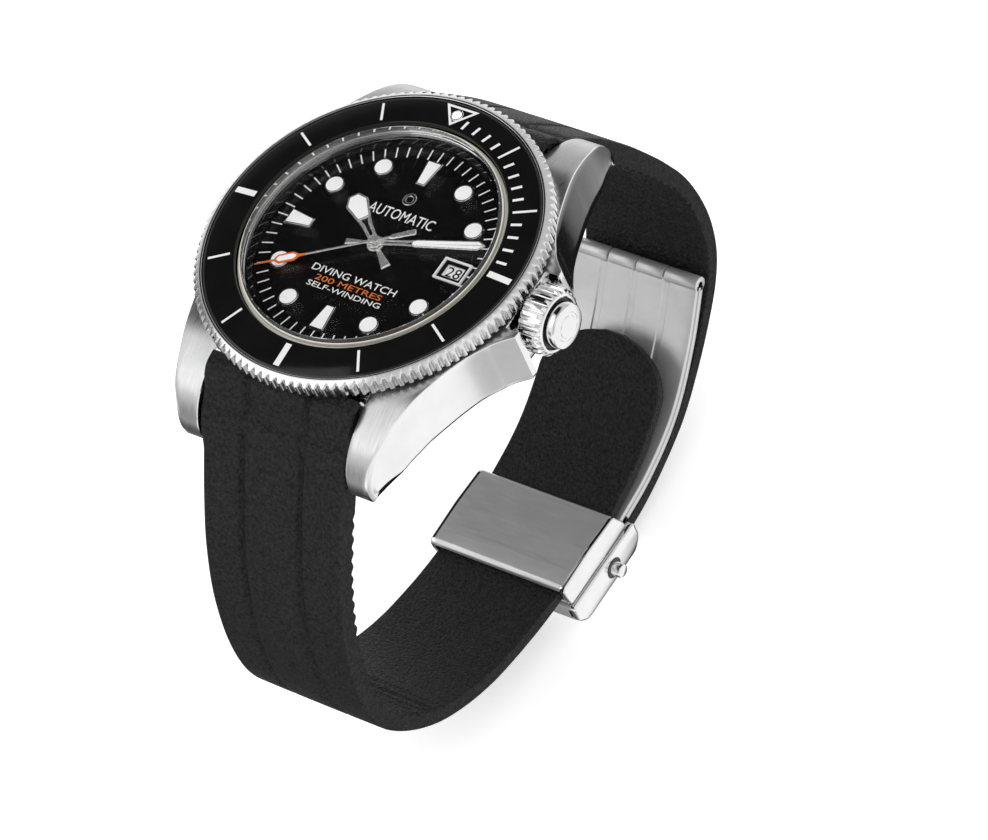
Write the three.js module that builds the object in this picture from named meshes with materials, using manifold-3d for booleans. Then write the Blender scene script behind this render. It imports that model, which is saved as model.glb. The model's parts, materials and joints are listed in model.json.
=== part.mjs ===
// A steel dive watch on a rubber strap with a folding clasp, closed into its loop.
// Millimetres. +Z points up out of the dial, +Y to 12 o'clock, +X to the crown.
// The origin is the centre of the case back's outer face.
import * as THREE from "three";
import { mergeVertices } from "three/addons/utils/BufferGeometryUtils.js";
import Module from "manifold-3d";

const wasm = await Module();
wasm.setup();

// ---- Driving dimensions ----
const GAP = 0.1; // between fixed neighbours
const BEZEL_R = 21; // over the teeth
const BEZEL_TEETH = 120;
const BEZEL_BOTTOM = 9.85;
const INSERT_IN = 15.85;
const INSERT_OUT = 19.75;
const INSERT_TOP = 12.2;
const INSERT_FALL = 0.4; // the insert slopes down to its outer edge
const CASE_BOTTOM = 1.7;
const CASE_TOP = 9.3;
const NECK_R = 17.2; // the bezel turns on this neck
const NECK_TOP = 10.9;
const BORE_R = 14.95;
const CRYSTAL_R = 15.15;
const CRYSTAL_SEAT = 9.85;
const CRYSTAL_TOP = 12.5;
const DIAL_TOP = 8.45;
const DIAL_T = 0.4;
const LUG_GAP = 21;
const LUG_GAP_Y = 19.6; // where the gap between the lugs starts
const BAR_Y = 22.3; // spring bars at the lugs
const BAR_Z = 3.4;
const BAR_R = 0.75;
const LUG_BAR_LENGTH = 20.8;
const STRAP_END_R = 2.3; // rubber round each spring bar
const CROWN_Z = 6.65;
const CROWN_X = 21.15; // inner end of the crown
const PLATE_BOTTOM = 6.1; // mainplate
const PLATE_TOP = 7.3;
const BRIDGE_BOTTOM = 2.95;
const BRIDGE_TOP = 3.45;
const PIVOT_R = 0.22;
const ARBOR_R = 0.35;
const KNUCKLE = [33.6, -33.9]; // hinge of the two clasp blades: y, z
const KNUCKLE_R = 1;
const COVER_BAR = [7.2, -51.1]; // spring bar of the short strap in the clasp cover: y, z
const BUTTON = [3.2, -51.45]; // y, z
const STUD_Y = 1; // the stud that holds the long strap in the clasp
const STUD_R = 0.8;
const PIP_Y = 17.9;
const DATE_X = 10.7;
const DATE_WINDOW = [2.9, 2.1];
// The time shown, about 10:12 and 39 seconds, in degrees anticlockwise from 3 o'clock.
const HOUR_ANGLE = 142.5;
const MINUTE_ANGLE = 17.4;
const SECONDS_ANGLE = 214;

// ---- Helpers ----
function solid(geometry) {
  const bare = geometry.index ? geometry.toNonIndexed() : geometry.clone();
  bare.deleteAttribute("normal");
  bare.deleteAttribute("uv");
  const merged = mergeVertices(bare, 1e-4);
  return new wasm.Manifold(
    new wasm.Mesh({
      numProp: 3,
      vertProperties: merged.attributes.position.array,
      triVerts: new Uint32Array(merged.index.array),
    }),
  );
}

function geometryOf(manifold) {
  const mesh = manifold.getMesh();
  const geometry = new THREE.BufferGeometry();
  geometry.setAttribute("position", new THREE.BufferAttribute(mesh.vertProperties, 3));
  geometry.setIndex(new THREE.BufferAttribute(mesh.triVerts, 1));
  return geometry;
}

const join = (...geometries) => geometryOf(geometries.map(solid).reduce((a, b) => a.add(b)));
const cut = (body, ...tools) =>
  geometryOf(tools.map(solid).reduce((a, b) => a.subtract(b), solid(body)));
const common = (a, b) => geometryOf(solid(a).intersect(solid(b)));

// A closed profile of [radius, height] points turned about the Z axis.
function turned(profile, segments = 28) {
  const points = [...profile, profile[0]].map(([r, z]) => new THREE.Vector2(r, z));
  return new THREE.LatheGeometry(points, segments).rotateX(Math.PI / 2);
}

function tube(inner, outer, bottom, top, segments) {
  return turned([[inner, bottom], [outer, bottom], [outer, top], [inner, top]], segments);
}

function disc(radius, bottom, top, segments = 24, x = 0, y = 0) {
  return new THREE.CylinderGeometry(radius, radius, top - bottom, segments)
    .rotateX(Math.PI / 2)
    .translate(x, y, (top + bottom) / 2);
}

// A round bar along X, from x0 to x1, centred on y, z.
function barX(radius, x0, x1, y, z, segments = 12) {
  return new THREE.CylinderGeometry(radius, radius, x1 - x0, segments)
    .rotateZ(Math.PI / 2)
    .translate((x0 + x1) / 2, y, z);
}

function box(x0, x1, y0, y1, z0, z1) {
  return new THREE.BoxGeometry(x1 - x0, y1 - y0, z1 - z0)
    .translate((x0 + x1) / 2, (y0 + y1) / 2, (z0 + z1) / 2);
}

// A flat outline of [x, y] points raised from bottom to top, with round holes of [x, y, radius].
function plate(outline, bottom, top, holes = []) {
  const shape = new THREE.Shape(outline.map(([x, y]) => new THREE.Vector2(x, y)));
  for (const [x, y, r] of holes) {
    shape.holes.push(new THREE.Path().absarc(x, y, r, 0, Math.PI * 2));
  }
  const settings = { depth: top - bottom, bevelEnabled: false, curveSegments: 6 };
  return new THREE.ExtrudeGeometry(shape, settings).translate(0, 0, bottom);
}

// The same for an outline of [y, z] points, from x0 to x1.
function sidePlate(outline, x0, x1) {
  return plate(outline, x0, x1).rotateX(Math.PI / 2).rotateZ(Math.PI / 2);
}

function toothed(teeth, tip, root) {
  const outline = [];
  for (let i = 0; i < teeth; i++) {
    const a = (2 * Math.PI * i) / teeth;
    outline.push([tip * Math.cos(a), tip * Math.sin(a)]);
    outline.push([root * Math.cos(a + Math.PI / teeth), root * Math.sin(a + Math.PI / teeth)]);
  }
  return outline;
}

function gear(teeth, radius, bottom, top, bore = 0) {
  const holes = bore ? [[0, 0, bore]] : [];
  return plate(toothed(teeth, radius, radius * (1 - 2.6 / teeth)), bottom, top, holes);
}

const mirrored = (points) => [...points, ...points.map(([x, y]) => [x, -y]).reverse()];

// A smooth curve through [y, z] points.
function smooth(points) {
  const stops = points.map(([y, z]) => new THREE.Vector3(0, y, z));
  return new THREE.CatmullRomCurve3(stops, false, "centripetal");
}

// A flat spiral at height z, in steps of turn degrees, that grows by pitch at each step.
function spiral(inner, pitch, steps, turn, z) {
  const stops = [];
  for (let i = 0; i <= steps; i++) {
    const [x, y] = at(turn * i, inner + pitch * i);
    stops.push(new THREE.Vector3(x, y, z));
  }
  return new THREE.CatmullRomCurve3(stops);
}

// A strip of rectangular section, from x0 to x1 and y0 to y1 in the section's plane, along a curve.
function strip(curve, steps, x0, x1, y0, y1) {
  const corners = [[x0, y0], [x1, y0], [x1, y1], [x0, y1]];
  const section = new THREE.Shape(corners.map(([x, y]) => new THREE.Vector2(x, y)));
  return new THREE.ExtrudeGeometry(section, { steps, bevelEnabled: false, extrudePath: curve });
}

// A band along X that follows a curve of [y, z] points on its outer side. Its thickness and its
// half width are functions of the way along, from 0 to 1; side is +1 where inside is on the left.
function band(points, steps, thickness, halfWidth, side) {
  const curve = smooth(points);
  const vertices = [];
  for (let i = 0; i <= steps; i++) {
    const u = i / steps;
    const p = curve.getPointAt(u);
    const t = curve.getTangentAt(u);
    const w = halfWidth(u);
    const y = p.y - side * t.z * thickness(u);
    const z = p.z + side * t.y * thickness(u);
    vertices.push([-w, p.y, p.z], [w, p.y, p.z], [w, y, z], [-w, y, z]);
  }
  const faces = [0, 1, 2, 0, 2, 3];
  for (let i = 0; i < steps; i++) {
    for (let k = 0; k < 4; k++) {
      const a = 4 * i + k;
      const b = 4 * i + ((k + 1) % 4);
      faces.push(a, a + 4, b, b, a + 4, b + 4);
    }
  }
  const e = 4 * steps;
  faces.push(e, e + 2, e + 1, e, e + 3, e + 2);
  if (side < 0) faces.reverse();
  const geometry = new THREE.BufferGeometry();
  geometry.setAttribute("position", new THREE.Float32BufferAttribute(vertices.flat(), 3));
  geometry.setIndex(faces);
  return geometry;
}

// A value that runs through [way, value] stops in straight lines.
function ramp(...stops) {
  return (u) => {
    const i = Math.max(1, stops.findIndex(([at]) => at >= u));
    const [[a, va], [b, vb]] = [stops[i - 1], stops[i]];
    return va + ((vb - va) * (u - a)) / (b - a);
  };
}

// A point at an angle in degrees and a radius.
const at = (angle, r) => [r * Math.cos((angle * Math.PI) / 180), r * Math.sin((angle * Math.PI) / 180)];

// ---- Materials ----
const finish = (color, roughness, metalness) => () =>
  new THREE.MeshStandardMaterial({ color, roughness, metalness });
const steel = finish(0xc9cbcd, 0.28, 1);
const brushed = finish(0xb4b6b8, 0.42, 1);
const brass = finish(0xc8a75a, 0.35, 1);
const rhodium = finish(0xbfc1c4, 0.3, 1);
const blackCeramic = finish(0x141416, 0.15, 0);
const blackLacquer = finish(0x0b0b0c, 0.2, 0);
const rubber = finish(0x1b1b1c, 0.75, 0);
const nylon = finish(0xd8d6c8, 0.5, 0);
const sapphire = finish(0xf2f6f8, 0.03, 0);
const lume = finish(0xf1f2ee, 0.55, 0);
const orange = finish(0xe2602a, 0.4, 0);

const watch = new THREE.Group();

function add(name, geometry, material, x = 0, y = 0) {
  const mesh = new THREE.Mesh(geometry, material());
  mesh.name = name;
  mesh.position.set(x, y, 0);
  watch.add(mesh);
}

// ---- Case ----
function caseMiddle() {
  const flank = [[19.1, 7.4], [17.5, 11.6], [15.5, 18], [14.4, 22.2], [13.6, 25.4]];
  const guard = [[20.9, 4.2], [22.3, 4.1], [22.2, 4.9], [20.9, 6]];
  const left = [[19.9, 2.5], [19.7, 5]];
  const mirrorX = (points) => points.map(([x, y]) => [-x, y]);
  const upper = [...guard, ...flank, ...mirrorX([...left, ...flank]).reverse()];
  const plan = plate(mirrored(upper), -1, CASE_TOP);
  const lug = [
    [16, CASE_TOP], [18.6, 8.6], [21, 7.6], [23, 6.3], [24.4, 4.7], [25.2, 3.1], [25.4, 1.8], [25.2, 0.6],
  ];
  const under = [[23.6, 0.5], [19.5, 1.3], [16.5, CASE_BOTTOM]];
  const half = [...lug, ...under];
  const side = sidePlate([...half, ...half.map(([y, z]) => [-y, z]).reverse()], -24, 24);
  const neck = disc(NECK_R, CASE_TOP - 1, NECK_TOP, 36);
  const gapBoxes = [-27, LUG_GAP_Y].map((y) =>
    box(-LUG_GAP / 2, LUG_GAP / 2, y, y + 27 - LUG_GAP_Y, -2, 11));
  const body = join(common(plan, side), neck);
  const barHoles = [1, -1].map((s) => barX(0.5, -11.6, 11.6, s * BAR_Y, BAR_Z, 8));
  const backBore = disc(16, 0, 3.5, 36);
  const bore = disc(BORE_R, 3, 11, 36);
  const crystalSeat = disc(15.8, CRYSTAL_SEAT - 0.05, 12, 36);
  const crownHole = barX(1.7, 14, 24, 0, CROWN_Z, 16);
  const crownRoom = barX(4.1, 20.5, 26, 0, CROWN_Z, 20);
  return cut(body, ...gapBoxes, ...barHoles, backBore, bore, crystalSeat, crownHole, crownRoom);
}

function caseBack() {
  const profile = [
    [0, 0], [14, 0], [16.6, 0.5], [16.8, 0.8], [16.8, 1.6], [15.9, 1.6], [15.9, 2.9], [13.9, 2.9],
    [13.9, 1.5], [0, 1.5],
  ];
  const keys = [0, 1, 2, 3, 4, 5].map((i) =>
    box(-1.1, 1.1, 15.3, 17.2, -0.5, 0.9).rotateZ((i * Math.PI) / 3));
  return cut(turned(profile, 36), ...keys);
}

function lugBar(y) {
  const end = LUG_BAR_LENGTH / 2;
  return join(barX(BAR_R, -end, end, y, BAR_Z), barX(0.4, -end - 0.8, end + 0.8, y, BAR_Z, 8));
}

const crystalProfile = [
  [0, CRYSTAL_SEAT + 0.05], [CRYSTAL_R, CRYSTAL_SEAT + 0.05], [CRYSTAL_R, 12.2],
  [14.85, CRYSTAL_TOP], [0, CRYSTAL_TOP],
];
const rehautProfile = [
  [14.3, DIAL_TOP + 0.05], [14.85, DIAL_TOP + 0.05], [14.85, 9.75], [14.7, 9.75],
];

add("case_middle", caseMiddle(), steel);
add("case_back", caseBack(), steel);
add("case_back_gasket", tube(14.3, 15.6, 3, 3.35, 24), rubber);
add("crystal", turned(crystalProfile, 36), sapphire);
add("crystal_gasket", tube(CRYSTAL_R + 0.06, 15.7, CRYSTAL_SEAT + 0.05, 11.9, 36), nylon);
add("rehaut_ring", turned(rehautProfile, 36), blackLacquer);
add("crown_tube", cut(barX(1.6, 15.2, 21.6, 0, CROWN_Z, 16), barX(0.8, 15, 22, 0, CROWN_Z)), steel);
add("spring_bar_12", lugBar(BAR_Y), steel);
add("spring_bar_6", lugBar(-BAR_Y), steel);

// ---- Bezel: a toothed ring, its ceramic insert and the luminous pip at 12 ----
function bezelRing() {
  const rim = INSERT_OUT + GAP;
  const teeth = cut(
    plate(toothed(BEZEL_TEETH, BEZEL_R, BEZEL_R - 0.5), BEZEL_BOTTOM, 11.35),
    disc(NECK_R + 0.15, 9, 11, 36),
    disc(rim, 10.98, 12, 36),
  );
  const lip = [[20.5, 11.3], [20.4, 11.75], [20.2, 11.9], [rim, 11.9], [rim, 11.2], [INSERT_IN, 11.6]];
  return join(teeth, turned([[INSERT_IN, 10.97], [20, 10.97], ...lip], 36));
}

function bezelInsert() {
  const low = INSERT_TOP - INSERT_FALL;
  const profile = [
    [INSERT_IN, INSERT_TOP - 0.5], [INSERT_OUT, low - 0.5], [INSERT_OUT, low], [INSERT_IN, INSERT_TOP],
  ];
  return cut(turned(profile, 36), disc(0.75, 11, 13, 12, 0, PIP_Y));
}

add("bezel_ring", bezelRing(), steel);
add("bezel_insert", bezelInsert(), blackCeramic);
add("bezel_pip", disc(0.65, 11.7, 12.15, 12, 0, PIP_Y), lume);
add("bezel_click_spring", tube(17.6, 18.8, 9.4, 9.7, 24), steel);

// ---- Dial, its applied markers, the date ring and the hands ----
const MARKER_R = 11.29; // to the middle of each dot
const MARKER_T = 0.25;

// A bar marker that widens outwards, for the hour that it stands at.
function barMarker(hour) {
  const outline = [[9.2, -0.65], [12.4, -1], [12.4, 1], [9.2, 0.65]];
  const bar = plate(outline, DIAL_TOP - 0.1, DIAL_TOP + MARKER_T);
  return bar.rotateZ(((90 - 30 * hour) * Math.PI) / 180);
}

function dial() {
  const base = disc(14.8, DIAL_TOP - DIAL_T, DIAL_TOP, 36);
  const dots = [1, 2, 4, 5, 7, 8, 10, 11].map((hour) =>
    disc(1.17, DIAL_TOP - 0.1, DIAL_TOP + MARKER_T, 12, ...at(90 - 30 * hour, MARKER_R)));
  const bars = [12, 6, 9].map(barMarker);
  const window = dateBox(0, DIAL_TOP - 1, DIAL_TOP + 1);
  return cut(join(base, ...dots, ...bars), disc(1, 8, 9, 16), window);
}

// A box over the date window, larger than the window by rim on each side.
function dateBox(rim, bottom, top) {
  const [w, h] = DATE_WINDOW.map((size) => size / 2 + rim);
  return box(DATE_X - w, DATE_X + w, -h, h, bottom, top);
}

function dateFrame() {
  return cut(dateBox(0.4, DIAL_TOP + 0.02, DIAL_TOP + 0.3), dateBox(0, DIAL_TOP - 1, DIAL_TOP + 1));
}

// A hand that lies along +X from its hub and is turned to its angle on the dial.
function hand(outline, hub, bore, bottom, top, degrees) {
  const blade = join(plate(outline, bottom, top), disc(hub, bottom, top, 16));
  return cut(blade, disc(bore, bottom - 1, top + 1, 12)).rotateZ((degrees * Math.PI) / 180);
}

const hourHand = mirrored([
  [7.9, 0.6], [7, 1.25], [4.8, 0.95], [4.3, 0.35], [-1.2, 0.35], [-3.85, 0.58],
]);
const minuteHand = mirrored([
  [13.6, 0.05], [12.4, 0.75], [5.6, 0.65], [4.4, 0.35], [-1.2, 0.35], [-3.55, 0.5],
]);
const secondsHand = mirrored([
  [13.9, 0.1], [12.2, 0.12], [11.4, 0.75], [10, 0.12], [-2.2, 0.16], [-2.5, 0.42], [-4.8, 0.36],
]);

add("dial", dial(), blackLacquer);
add("date_window_frame", dateFrame(), lume);
add("date_ring", tube(9.6, 13.4, 7.45, 7.85, 28), lume);
add("hour_hand", hand(hourHand, 1, 0.77, 8.7, 8.9, HOUR_ANGLE), rhodium);
add("minute_hand", hand(minuteHand, 0.85, 0.47, 9.05, 9.22, MINUTE_ANGLE), rhodium);
add("seconds_hand", hand(secondsHand, 0.6, 0.17, 9.4, 9.52, SECONDS_ANGLE), orange);

// ---- Movement: plates ----
const BARREL_AT = at(150, 6.33);
const THIRD_AT = at(20, 4.6);
const ESCAPE_AT = at(250, 4.55);
const BALANCE_AT = [3.8, -6.6];
const FORK_AT = [1.2, -5.47];
const MINUTE_WHEEL_AT = at(100, 3.25);
const pivots = [BARREL_AT, THIRD_AT, ESCAPE_AT, BALANCE_AT, FORK_AT];
const pivotHoles = pivots.map(([x, y]) => disc(PIVOT_R + 0.08, 0, 10, 8, x, y));

function mainplate() {
  const profile = [
    [0, PLATE_BOTTOM], [11.9, PLATE_BOTTOM], [11.9, 3.5], [12.75, 3.5], [12.75, PLATE_TOP], [0, PLATE_TOP],
  ];
  const stemChannel = barX(0.6, 4, 14, 0, CROWN_Z);
  const clutchRoom = box(7.4, 11.2, -1.2, 1.2, 5, 8);
  return cut(turned(profile, 36), ...pivotHoles, disc(0.6, 5, 8, 16), stemChannel, clutchRoom);
}

// The balance bridge is a bar from the rim to the balance; the train bridge is the rest of the disc.
const balanceArm = box(-2.2, 2.2, -15, 1.2, 2, 4)
  .rotateZ(Math.atan2(BALANCE_AT[0], -BALANCE_AT[1]))
  .translate(...BALANCE_AT, 0);

function bridge(shape) {
  return cut(shape, ...pivotHoles, disc(0.32, 2, 4, 10));
}

const bridgeDisc = disc(12.7, BRIDGE_BOTTOM, BRIDGE_TOP, 28);
const sector = plate(
  [[0.6, -6.6], [1.9, -5.7], [4.9, -3.9], [7.5, -3.4], [16, -8], [8, -16], [-3, -14]], 2, 4);

// The pallet bridge holds the fork's upper pivot on a foot outside the balance wheel.
function palletBridge() {
  const foot = [-1.2, -8.2];
  const [dx, dy] = [0.45, -0.4];
  const [fx, fy] = FORK_AT;
  const arm = [
    [fx + dx, fy + dy], [fx - dx, fy - dy], [foot[0] - dx, foot[1] - dy], [foot[0] + dx, foot[1] + dy],
  ];
  return cut(
    join(
      plate(arm, 4.5, 4.7),
      disc(0.6, 4.5, 4.7, 12, ...FORK_AT),
      disc(0.7, 4.5, PLATE_BOTTOM - GAP, 12, ...foot),
    ),
    disc(PIVOT_R + 0.08, 4, 5, 8, ...FORK_AT),
  );
}

const holderProfile = [
  [12.85, 3.5], [14.8, 3.5], [14.8, 7.95], [13.55, 7.95], [13.55, 7.35], [12.85, 7.35],
];
const holderChannel = box(12, 16, -0.7, 0.7, CROWN_Z - 0.65, 9);

add("movement_holder", cut(turned(holderProfile, 30), holderChannel), nylon);
add("mainplate", mainplate(), rhodium);
add("train_bridge", bridge(cut(bridgeDisc, sector)), rhodium);
add("balance_bridge", bridge(common(bridgeDisc, balanceArm)), rhodium);
add("pallet_bridge", palletBridge(), rhodium);

// ---- Movement: going train, on upright arbors between the plates ----
function arbor(bottom, top, radius = ARBOR_R, pivotTop = PLATE_BOTTOM + 0.8) {
  const pivot = disc(PIVOT_R, BRIDGE_BOTTOM + 0.1, pivotTop, 8);
  return join(disc(radius, bottom, top, 10), pivot);
}

const wheelArbor = () => arbor(BRIDGE_TOP + 0.08, PLATE_BOTTOM - 0.08);
const barrelDrum = cut(
  join(disc(4.9, 4, 4.9, 24), gear(36, 5.15, 4.42, 4.68)),
  disc(4.6, 4.15, 6, 24),
  disc(0.6, 3, 5, 10),
);
const mainspring = strip(spiral(1, 0.075, 40, 36, 4.25), 40, -0.55, 0, -0.06, 0.06);
const centreWheel = cut(
  join(gear(30, 3.95, 5, 5.18), gear(12, 0.95, 4.35, 4.85), disc(0.6, 4.8, 5.9, 12)),
  disc(0.24, 3, 7, 10),
);
const thirdWheel = join(gear(30, 3.95, 3.96, 4.14), gear(8, 0.5, 4.8, 5.4), wheelArbor());
const fourthWheel = join(gear(30, 3.95, 3.6, 3.78), gear(8, 0.48, 3.7, 4.22), disc(0.16, 3.1, 9.6, 8));
const escapeWheel = join(gear(15, 2.2, 3.97, 4.12), gear(8, 0.46, 3.53, 3.85), wheelArbor());

add("barrel_drum", barrelDrum, brass, ...BARREL_AT);
add("barrel_arbor", arbor(3.53, 5.1, 0.5), steel, ...BARREL_AT);
add("mainspring", mainspring, steel, ...BARREL_AT);
add("centre_wheel", centreWheel, brass);
add("third_wheel", thirdWheel, brass, ...THIRD_AT);
add("fourth_wheel", fourthWheel, brass);
add("escape_wheel", escapeWheel, steel, ...ESCAPE_AT);

// ---- Movement: escapement and balance ----
const forkAim = Math.atan2(BALANCE_AT[1] - FORK_AT[1], BALANCE_AT[0] - FORK_AT[0]);
const forkOutline = mirrored([
  [2.1, 0.45], [1.5, 0.12], [0.4, 0.2], [-0.55, 1.7], [-0.9, 1.5], [-0.25, 0.25],
]);
const forkArbor = arbor(BRIDGE_TOP + 0.08, 4.45, ARBOR_R, 4.68);

function balanceWheel() {
  const rim = cut(disc(4.1, 5.3, 5.6, 32), disc(3.6, 5, 6, 32));
  const arms = [0, 1].map((i) => box(-3.8, 3.8, -0.3, 0.3, 5.3, 5.5).rotateZ((i * Math.PI) / 2));
  return join(rim, ...arms, disc(0.6, 5.2, 5.7, 12));
}

const hairspring = strip(spiral(0.5, 0.045, 36, 30, 4.85), 36, -0.1, 0.1, -0.03, 0.03);

add("pallet_fork", join(plate(forkOutline, 4.25, 4.4).rotateZ(forkAim), forkArbor), steel, ...FORK_AT);
add("balance_wheel", cut(balanceWheel(), disc(0.4, 5, 6, 10)), brass, ...BALANCE_AT);
add("balance_staff", wheelArbor(), steel, ...BALANCE_AT);
add("hairspring", hairspring, steel, ...BALANCE_AT);

// ---- Movement: motion works under the dial, and the winding rotor ----
const cannonPinion = cut(
  join(disc(0.45, 6, 9.25, 12), gear(10, 0.76, 7.36, 7.54)),
  disc(0.22, 5, 10, 8),
);
const hourWheel = cut(
  join(gear(24, 2.5, 7.62, 7.8), disc(0.75, 7.62, 8.95, 16)),
  disc(0.52, 7, 10, 12),
);
const rotorBearing = cut(
  join(disc(0.8, 1.75, 2.9, 16), disc(1.5, 1.65, 1.78, 16)),
  disc(0.3, 2, 4, 10),
);

add("cannon_pinion", cannonPinion, steel);
add("hour_wheel", hourWheel, brass);
add("minute_wheel", join(gear(20, 2.3, 7.36, 7.5), gear(10, 0.6, 7.45, 7.8)), brass, ...MINUTE_WHEEL_AT);
add("rotor_bearing", rotorBearing, steel);

function rotor() {
  const half = box(-13, 13, 0, 13, 1, 4);
  const weight = common(tube(9.4, 12.4, 1.85, 2.8, 36), half);
  const web = common(disc(9.6, 1.85, 2.15, 28), join(half, disc(2.2, 1, 4, 16)));
  return cut(join(weight, web), disc(0.9, 1, 4, 16), disc(1.6, 1, 1.84, 16));
}

add("rotor", rotor(), steel);

// ---- Winding: stem, clutch and screw-down crown ----
function crown() {
  const skirt = toothed(24, 3.9, 3.6);
  const body = plate(skirt, 0, 3).rotateY(Math.PI / 2).translate(CROWN_X, 0, CROWN_Z);
  const cap = barX(3.1, CROWN_X + 2.9, CROWN_X + 3.6, 0, CROWN_Z, 24);
  const button = barX(2.7, CROWN_X + 3.5, CROWN_X + 4.2, 0, CROWN_Z, 24);
  const tubeRoom = barX(1.75, 20, 23.1, 0, CROWN_Z, 16);
  return cut(join(body, cap, button), tubeRoom, barX(0.5, 22, 24.4, 0, CROWN_Z));
}

const crownGasket = cut(barX(1.72, 22.5, 22.9, 0, CROWN_Z, 16), barX(0.62, 22, 23, 0, CROWN_Z));
const stem = join(
  barX(0.45, 7, 24.2, 0, CROWN_Z),
  box(6, 12, -0.25, 0.25, CROWN_Z - 0.25, CROWN_Z + 0.25),
);
const clutch = cut(barX(0.85, 8, 9.6, 0, CROWN_Z), barX(0.5, 7, 11, 0, CROWN_Z));

add("crown", crown(), steel);
add("crown_gasket", crownGasket, rubber);
add("winding_stem", stem, steel);
add("clutch_wheel", clutch, steel);

// ---- Strap: two rubber halves, each round its spring bar ----
const LONG_STRAP = [
  [-24, 5], [-26.1, 1.9], [-29.6, -3.8], [-32.6, -9.4], [-35.3, -16.7], [-36.6, -24.9], [-36, -30.8],
  [-33.7, -35.4], [-28.2, -41.2], [-20, -45.6], [-11.3, -47.6], [-4, -48.2], [3, -48.25],
  [8, -47.75], [14.5, -46.1], [20.5, -42.9], [26.3, -38.3],
];
const SHORT_STRAP = [
  [24, 5.1], [27.5, 0.9], [31, -4.3], [33.4, -8.6], [35.7, -13.2], [37.7, -18.2], [38.8, -23.6],
  [38.9, -28.2], [38, -32.6], [36, -36.3], [32.6, -40.1], [28.4, -43.9], [23.1, -47.75],
  [15.4, -50.85], [10, -52], [7.4, -52.05],
];
const LONG_STEPS = 40;
const SHORT_STEPS = 30;

function strap(points, steps, thickness, halfWidth, side) {
  const s = Math.sign(points[0][0]);
  const end = barX(STRAP_END_R, -halfWidth(0), halfWidth(0), s * BAR_Y, BAR_Z, 20);
  const body = join(band(points, steps, thickness, halfWidth, side), end);
  return cut(body, barX(BAR_R + GAP, -12, 12, s * BAR_Y, BAR_Z, 12));
}

const longThickness = ramp([0, 3.2], [0.25, 2.7], [0.5, 2.1], [0.65, 1.9], [1, 1.8]);
const shortThickness = ramp([0, 3.2], [0.25, 2.6], [0.45, 2.1], [0.6, 1.9], [1, 1.8]);
const longWidth = ramp([0, 10.3], [0.03, 10.3], [0.05, 9.8], [0.45, 9.25], [0.6, 8.9], [1, 8.7]);
const shortWidth = ramp([0, 10.3], [0.04, 10.3], [0.07, 9.8], [0.6, 9.1], [0.94, 8.7], [1, 8.6]);

// The long strap's half width, with a round tip over its last TIP of the way.
const TIP = 0.06;
function tipWidth(u) {
  const way = Math.max(0, (Math.min(u, 0.998) - 1 + TIP) / TIP);
  return longWidth(u) * Math.sqrt(1 - way ** 2);
}

function longStrap() {
  const body = strap(LONG_STRAP, LONG_STEPS, longThickness, tipWidth, 1);
  return cut(body, disc(STUD_R + 0.2, -49, -45, 12, 0, STUD_Y));
}

function shortStrap() {
  const body = strap(SHORT_STRAP, SHORT_STEPS, shortThickness, shortWidth, -1);
  return cut(join(body, barX(0.95, -8.6, 8.6, ...COVER_BAR, 12)), barX(0.55, -12, 12, ...COVER_BAR, 8));
}

add("strap_6", longStrap(), rubber);
add("strap_12", shortStrap(), rubber);

// The fitted ends fill the gap between the lugs, from the case to the round ends of the strap.
function strapEnd(s) {
  const outline = [
    [LUG_GAP_Y + 0.15, 5], [LUG_GAP_Y + 0.15, 9.2], [20.6, 9], [21.6, 8], [22.3, 6.6], [22.3, 5],
  ];
  const block = sidePlate(outline, -10.3, 10.3);
  return cut(block, barX(STRAP_END_R + 0.2, -12, 12, BAR_Y, BAR_Z, 24)).rotateZ(s < 0 ? Math.PI : 0);
}

add("strap_end_6", strapEnd(-1), rubber);
add("strap_end_12", strapEnd(1), rubber);

// ---- Folding clasp ----
const FRAME_IN = 9.25; // half width inside the frame
const FRAME_OUT = 10;
const BLADE_T = 0.7;
const INNER_BLADE = [[32.9, -33.55], [28, -39.2], [21.5, -44.6], [14.5, -47.35], [7.9, -48.35]];

function frame() {
  const wall = [
    [-5, -45.6], [-4.5, -45.25], [1, -45], [6.3, -45.25], [7.4, -47.4], [7.6, -48.95], [-4.6, -48.95],
  ];
  const arch = [
    [-4.9, -46.1], [-4.9, -45.6], [-4.5, -45.25], [1, -45], [6.3, -45.25], [6.5, -45.9], [1, -45.75],
  ];
  const inside = FRAME_IN + 0.15;
  return join(
    sidePlate(wall, -FRAME_OUT, -FRAME_IN),
    sidePlate(wall, FRAME_IN, FRAME_OUT),
    sidePlate(arch, -inside, inside),
    box(-inside, inside, -4.6, 7.6, -48.95, -48.4),
    box(-2, 2, -2, 1.5, -51.2, -48.7),
  );
}

// A clasp blade: the band under the inner blade's line by drop, with its share of the knuckle.
function blade(drop, sleeves, clear, end) {
  const line = smooth(INNER_BLADE);
  const points = [...Array(9).keys()].map((i) => {
    const p = line.getPointAt((i / 8) * end);
    const t = line.getTangentAt((i / 8) * end);
    const d = drop + BLADE_T;
    return [p.y - t.z * d, p.z + t.y * d];
  });
  const leaf = band(points, 12, () => BLADE_T, () => 8.9, -1);
  const room = clear.map(([a, b]) => barX(KNUCKLE_R + 0.12, a, b, ...KNUCKLE, 14));
  const rolls = sleeves.map(([a, b]) => barX(KNUCKLE_R, a, b, ...KNUCKLE, 14));
  return cut(join(cut(leaf, ...room), ...rolls), barX(0.5, -12, 12, ...KNUCKLE, 10));
}

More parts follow.
